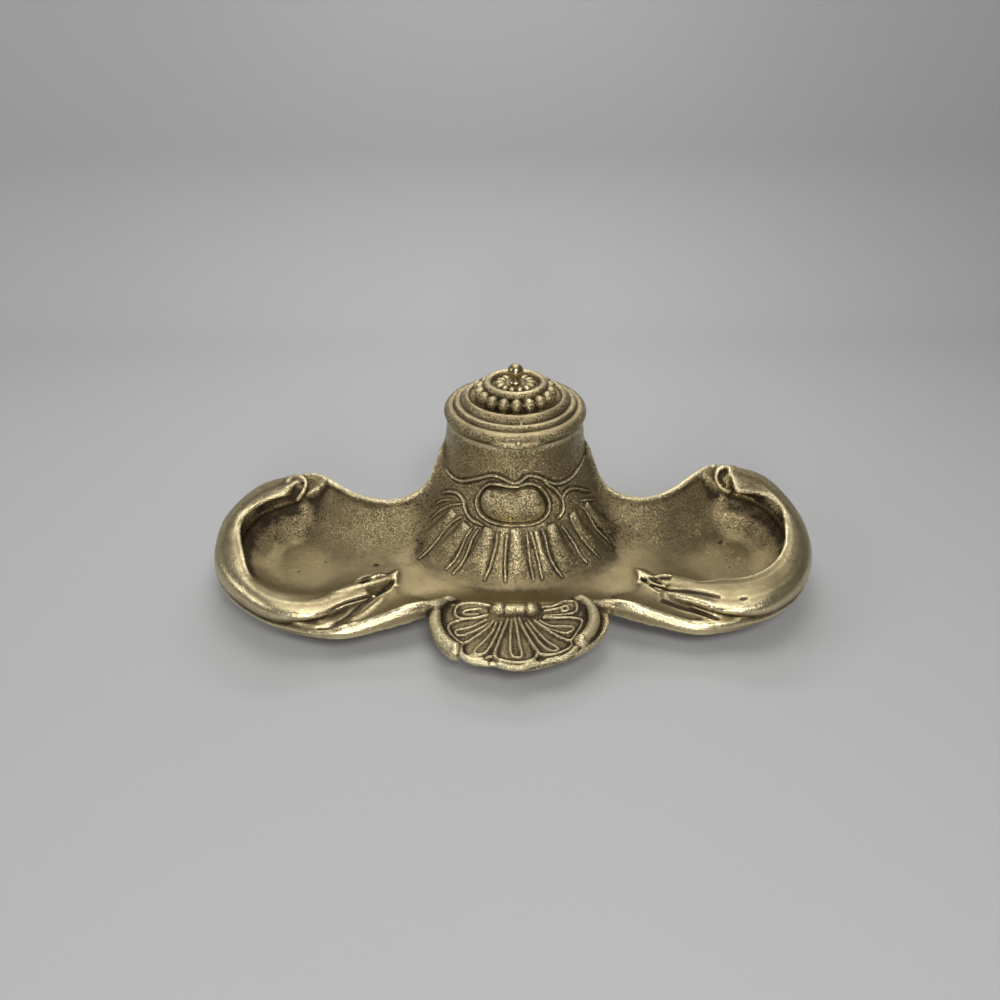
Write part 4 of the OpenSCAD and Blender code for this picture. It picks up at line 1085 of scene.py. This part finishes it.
class INKSTAND_OT_lid(bpy.types.Operator):
    """Stepped lid with its beads, petals and thumb lip"""

    bl_idname = "inkstand.lid"
    bl_label = "Lid"

    def execute(self, context):
        s = settings()
        step = s.lid_step / MM * 1
        bm = bmesh.new()
        turned(bm, self.profile(), steps=120)
        for k in range(s.bead_count):
            turn = Matrix.Rotation(2 * math.pi * k / s.bead_count, 4, "Z")
            place = turn @ Matrix.Translation((0, -15.1, LID_Z + 10.5)) \
                @ Matrix.Rotation(math.radians(-25), 4, "X") \
                @ Matrix.Diagonal((2.45, 2.5, 2.85, 1))
            bmesh.ops.create_icosphere(bm, subdivisions=4, radius=1, matrix=place)
        for k in range(s.petal_count):
            turn = Matrix.Rotation(2 * math.pi * (k + 0.5) / s.petal_count, 4, "Z")
            place = turn @ Matrix.Translation((0, -6.4, LID_Z + 13.5)) \
                @ Matrix.Diagonal((1.35, 2.3, 1.6, 1))
            bmesh.ops.create_icosphere(bm, subdivisions=3, radius=1, matrix=place)
        self.thumb_lip(bm)
        bm = remeshed(bm, step)
        skin = Skin(bm)
        skin.co = skin.smoothed(skin.co, 1)
        co = skin.co
        leaf_low, leaf_high = box_of("lid_hinge_leaf")
        under = leaf_high.z - 1.2
        leaf_edge = leaf_low.y - WELL_Y - 0.2
        recess = (np.abs(co[:, 0]) < 7.8) & (co[:, 1] > leaf_edge)
        co[recess, 2] = np.minimum(co[recess, 2], under - 0.02)
        behind = (np.abs(co[:, 0]) < 8.6) & (co[:, 1] > LID_R - 0.4)
        co[behind, 1] = LID_R - 0.4
        wear(skin, skin.hollows(6), skin.hollows(50), rubbed=0.7)
        normals = skin.normals()
        skin.set_layer("pits", np.clip(1 - eased(normals[:, 2], 0.6, 0.95), 0.25, 1))
        skin.write()
        register_piece(to_piece(bm, "lid_cast"), "lid", "cast_brass", finish("cast_brass"),
                       "lid")
        return {"FINISHED"}

    @staticmethod
    def profile():
        """Section of the lid: tiers with crisp steps, the beads' cove, a ring and a dish."""
        brim = curve([(28.9, 0), (29.7, 0.5), (30.2, 1.3), (30.3, 2.2), (29.9, 3.4),
                      (29, 4.4), (27.9, 4.8), (26.7, 4.75)], 3)
        step = curve([(26.2, 4.4), (25.9, 5.3), (25.6, 6.1), (24.9, 6.7), (23.7, 6.6)], 3)
        collar = curve([(23.2, 6.2), (22.9, 7.1), (22.4, 8.1), (21.5, 9), (20.6, 9.35),
                        (19.9, 9.1)], 3)
        cove = curve([(19.2, 8.3), (17.6, 7.7), (15.6, 7.6), (13.7, 8.6), (12.9, 10.5),
                      (13.2, 12.2)], 3)
        ring = [(11.8 + 1.7 * math.cos(a), 13.6 + 1.7 * math.sin(a))
                for a in np.radians(range(-15, 181, 15))]
        dish = [(9.6, 13), (8.4, 13.1), (5, 13.7), (2.6, 14.1), (0, 14.3)]
        inner = [(0, 10.6), (8.6, 10.6), (10.8, 9), (13.6, 5.4), (18.6, 3.4), (22.7, 1.4),
                 (25.4, 0)]
        points = [*brim, *step, *collar, *cove, *ring, *dish, *inner]
        return [(r, LID_Z + z) for r, z in points]

    @staticmethod
    def thumb_lip(bm):
        """Crescent in front of the brim, with a pip in its middle."""
        a = np.radians(np.linspace(-LIP_SPREAD, LIP_SPREAD, 31))
        reach = 30 + LIP_REACH * np.clip(
            np.cos(a / np.radians(LIP_SPREAD) * math.pi / 2), 0, 1) ** 0.8
        rows = []
        for angle, r in zip(a, reach):
            ring = [(27.5, 0), (r - 0.6, 0), (r, 0.5), (r, 1.2), (r - 0.7, 2),
                    (27.5, 3)]
            rows.append([(q * math.sin(angle), -q * math.cos(angle), LID_Z + z)
                         for q, z in ring + ring[:1]])
        surface(bm, rows, caps=True)
        ball(bm, (0.3, -31.2, LID_Z + 1.9), 1.0)
        ball(bm, (1.7, -23.6, LID_Z + 6.9), 0.55)


class INKSTAND_OT_finial(bpy.types.Operator):
    """Turned finial with its washer and nut"""

    bl_idname = "inkstand.finial"
    bl_label = "Finial"

    def execute(self, context):
        low, high = box_of("finial")
        top, r = high.z, (high.x - low.x) / 2
        centre, dish = top - r, CROWN_Z - 1
        profile = [(0, low.z), (1.5, low.z), (1.5, dish), (2.8, dish), (2.75, dish + 0.4),
                   (2.3, dish + 0.9), (1.7, dish + 1.3), (1.35, centre - r + 0.4)]
        profile += [(r * math.cos(a), centre + r * math.sin(a))
                    for a in np.radians(range(-62, 91, 8))]
        profile += [(0, top)]
        bm = bmesh.new()
        verts = [bm.verts.new((q, 0, z)) for q, z in profile]
        edges = [bm.edges.new(pair) for pair in zip(verts, verts[1:])]
        bmesh.ops.spin(bm, geom=verts + edges, cent=(0, 0, 0), axis=(0, 0, 1),
                       angle=2 * math.pi, steps=64, use_merge=True)
        bmesh.ops.remove_doubles(bm, verts=bm.verts, dist=1e-4)
        bmesh.ops.recalc_face_normals(bm, faces=bm.faces)
        skin = Skin(bm)
        wear(skin, skin.hollows(2), skin.hollows(6))
        register_piece(to_piece(bm, "finial_turned"), "lid", "turned_brass",
                       finish("turned_brass"), "finial")
        for node in ("finial_washer", "finial_nut"):
            dress(node, "turned_brass")
        return {"FINISHED"}


def dress(node, material):
    """Give a CAD node its material, with its mesh left as it is."""
    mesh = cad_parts[node].data
    mesh.materials.clear()
    mesh.materials.append(finish(material))


class INKSTAND_OT_ink_pot(bpy.types.Operator):
    """Glass ink pot in the neck"""

    bl_idname = "inkstand.ink_pot"
    bl_label = "Ink pot"

    def execute(self, context):
        dress("ink_pot", "pot_glass")
        return {"FINISHED"}


class INKSTAND_OT_hinge(bpy.types.Operator):
    """Hinge leaves, rivets and pin behind the lid"""

    bl_idname = "inkstand.hinge"
    bl_label = "Hinge"

    def execute(self, context):
        for node in ("lid_hinge_leaf", "neck_hinge_leaf"):
            dress(node, "cast_brass")
        for node in ("lid_leaf_rivets", "neck_leaf_rivets", "hinge_pin"):
            dress(node, "turned_brass")
        return {"FINISHED"}


class INKSTAND_OT_feet(bpy.types.Operator):
    """Button feet under the tray"""

    bl_idname = "inkstand.feet"
    bl_label = "Feet"

    def execute(self, context):
        for node in FEET:
            dress(node, "turned_brass")
        return {"FINISHED"}


class INKSTAND_OT_stage(bpy.types.Operator):
    """Floor, backdrop, lamps and camera"""

    bl_idname = "inkstand.stage"
    bl_label = "Stage"

    def execute(self, context):
        scene = bpy.context.scene
        bend = [(0.27 + 0.11 * math.sin(a), 0.11 - 0.11 * math.cos(a))
                for a in np.radians(range(0, 91, 6))]
        section = [(-1.6, 0), (-0.6, 0), (0, 0)] + bend + [(0.38, 0.6), (0.38, 1.3)]
        bm = bmesh.new()
        rows = [[(x, y, z) for y, z in section] for x in np.linspace(-1.6, 1.6, 5)]
        surface(bm, rows)
        floor = linked(bm, "floor")
        floor.data.materials.append(finish("backdrop"))
        for face in floor.data.polygons:
            face.use_smooth = True
        for name, settings_of in LAMPS.items():
            self.lamp(name, *settings_of)
        world = bpy.data.worlds.new("room")
        scene.world = world
        world.use_nodes = True
        inputs = world.node_tree.nodes["Background"].inputs
        inputs["Color"].default_value = (0.5, 0.5, 0.5, 1)
        inputs["Strength"].default_value = 0.24
        camera = bpy.data.objects.new("camera", bpy.data.cameras.new("camera"))
        camera.data.sensor_width = SENSOR
        camera.data.lens = SENSOR * PICTURE_FOCUS / (2 * PICTURE_MIDDLE)
        camera.data.clip_start = 0.01
        camera.location = (Vector(CAMERA_PLACE) + Vector((0, WELL_Y, 0))) * MM
        camera.rotation_euler = Vector(CAMERA_AIM).to_track_quat("-Z", "Y").to_euler()
        scene.collection.objects.link(camera)
        scene.camera = camera
        scene.view_settings.view_transform = "Standard"
        return {"FINISHED"}

    @staticmethod
    def lamp(name, place, target, size, power):
        light = bpy.data.lights.new(name, "AREA")
        light.shape, light.energy = "RECTANGLE", power
        light.size, light.size_y = size
        lamp = bpy.data.objects.new(name, light)
        lamp.location = place
        lamp.rotation_euler = (Vector(target) - Vector(place)).to_track_quat(
            "-Z", "Y").to_euler()
        bpy.context.scene.collection.objects.link(lamp)


class INKSTAND_PT_panel(bpy.types.Panel):
    bl_idname = "INKSTAND_PT_panel"
    bl_label = "Desk inkstand"
    bl_space_type = "VIEW_3D"
    bl_region_type = "UI"
    bl_category = "Inkstand"

    def draw(self, context):
        for key in InkstandSettings.__annotations__:
            self.layout.prop(context.scene.inkstand, key)
        for operator in OPERATORS:
            self.layout.operator(operator.bl_idname)


OPERATORS = (INKSTAND_OT_finishes, INKSTAND_OT_tray, INKSTAND_OT_lid, INKSTAND_OT_finial,
             INKSTAND_OT_ink_pot, INKSTAND_OT_hinge, INKSTAND_OT_feet, INKSTAND_OT_stage)
CLASSES = (InkstandSettings, *OPERATORS, INKSTAND_PT_panel)


def register():
    for cls in CLASSES:
        bpy.utils.register_class(cls)
    bpy.types.Scene.inkstand = bpy.props.PointerProperty(type=InkstandSettings)


def unregister():
    del bpy.types.Scene.inkstand
    for cls in reversed(CLASSES):
        bpy.utils.unregister_class(cls)


def main():
    register()
    for operator in OPERATORS:
        name = operator.bl_idname.split(".")[1]
        getattr(bpy.ops.inkstand, name)()


if __name__ == "__main__":
    main()
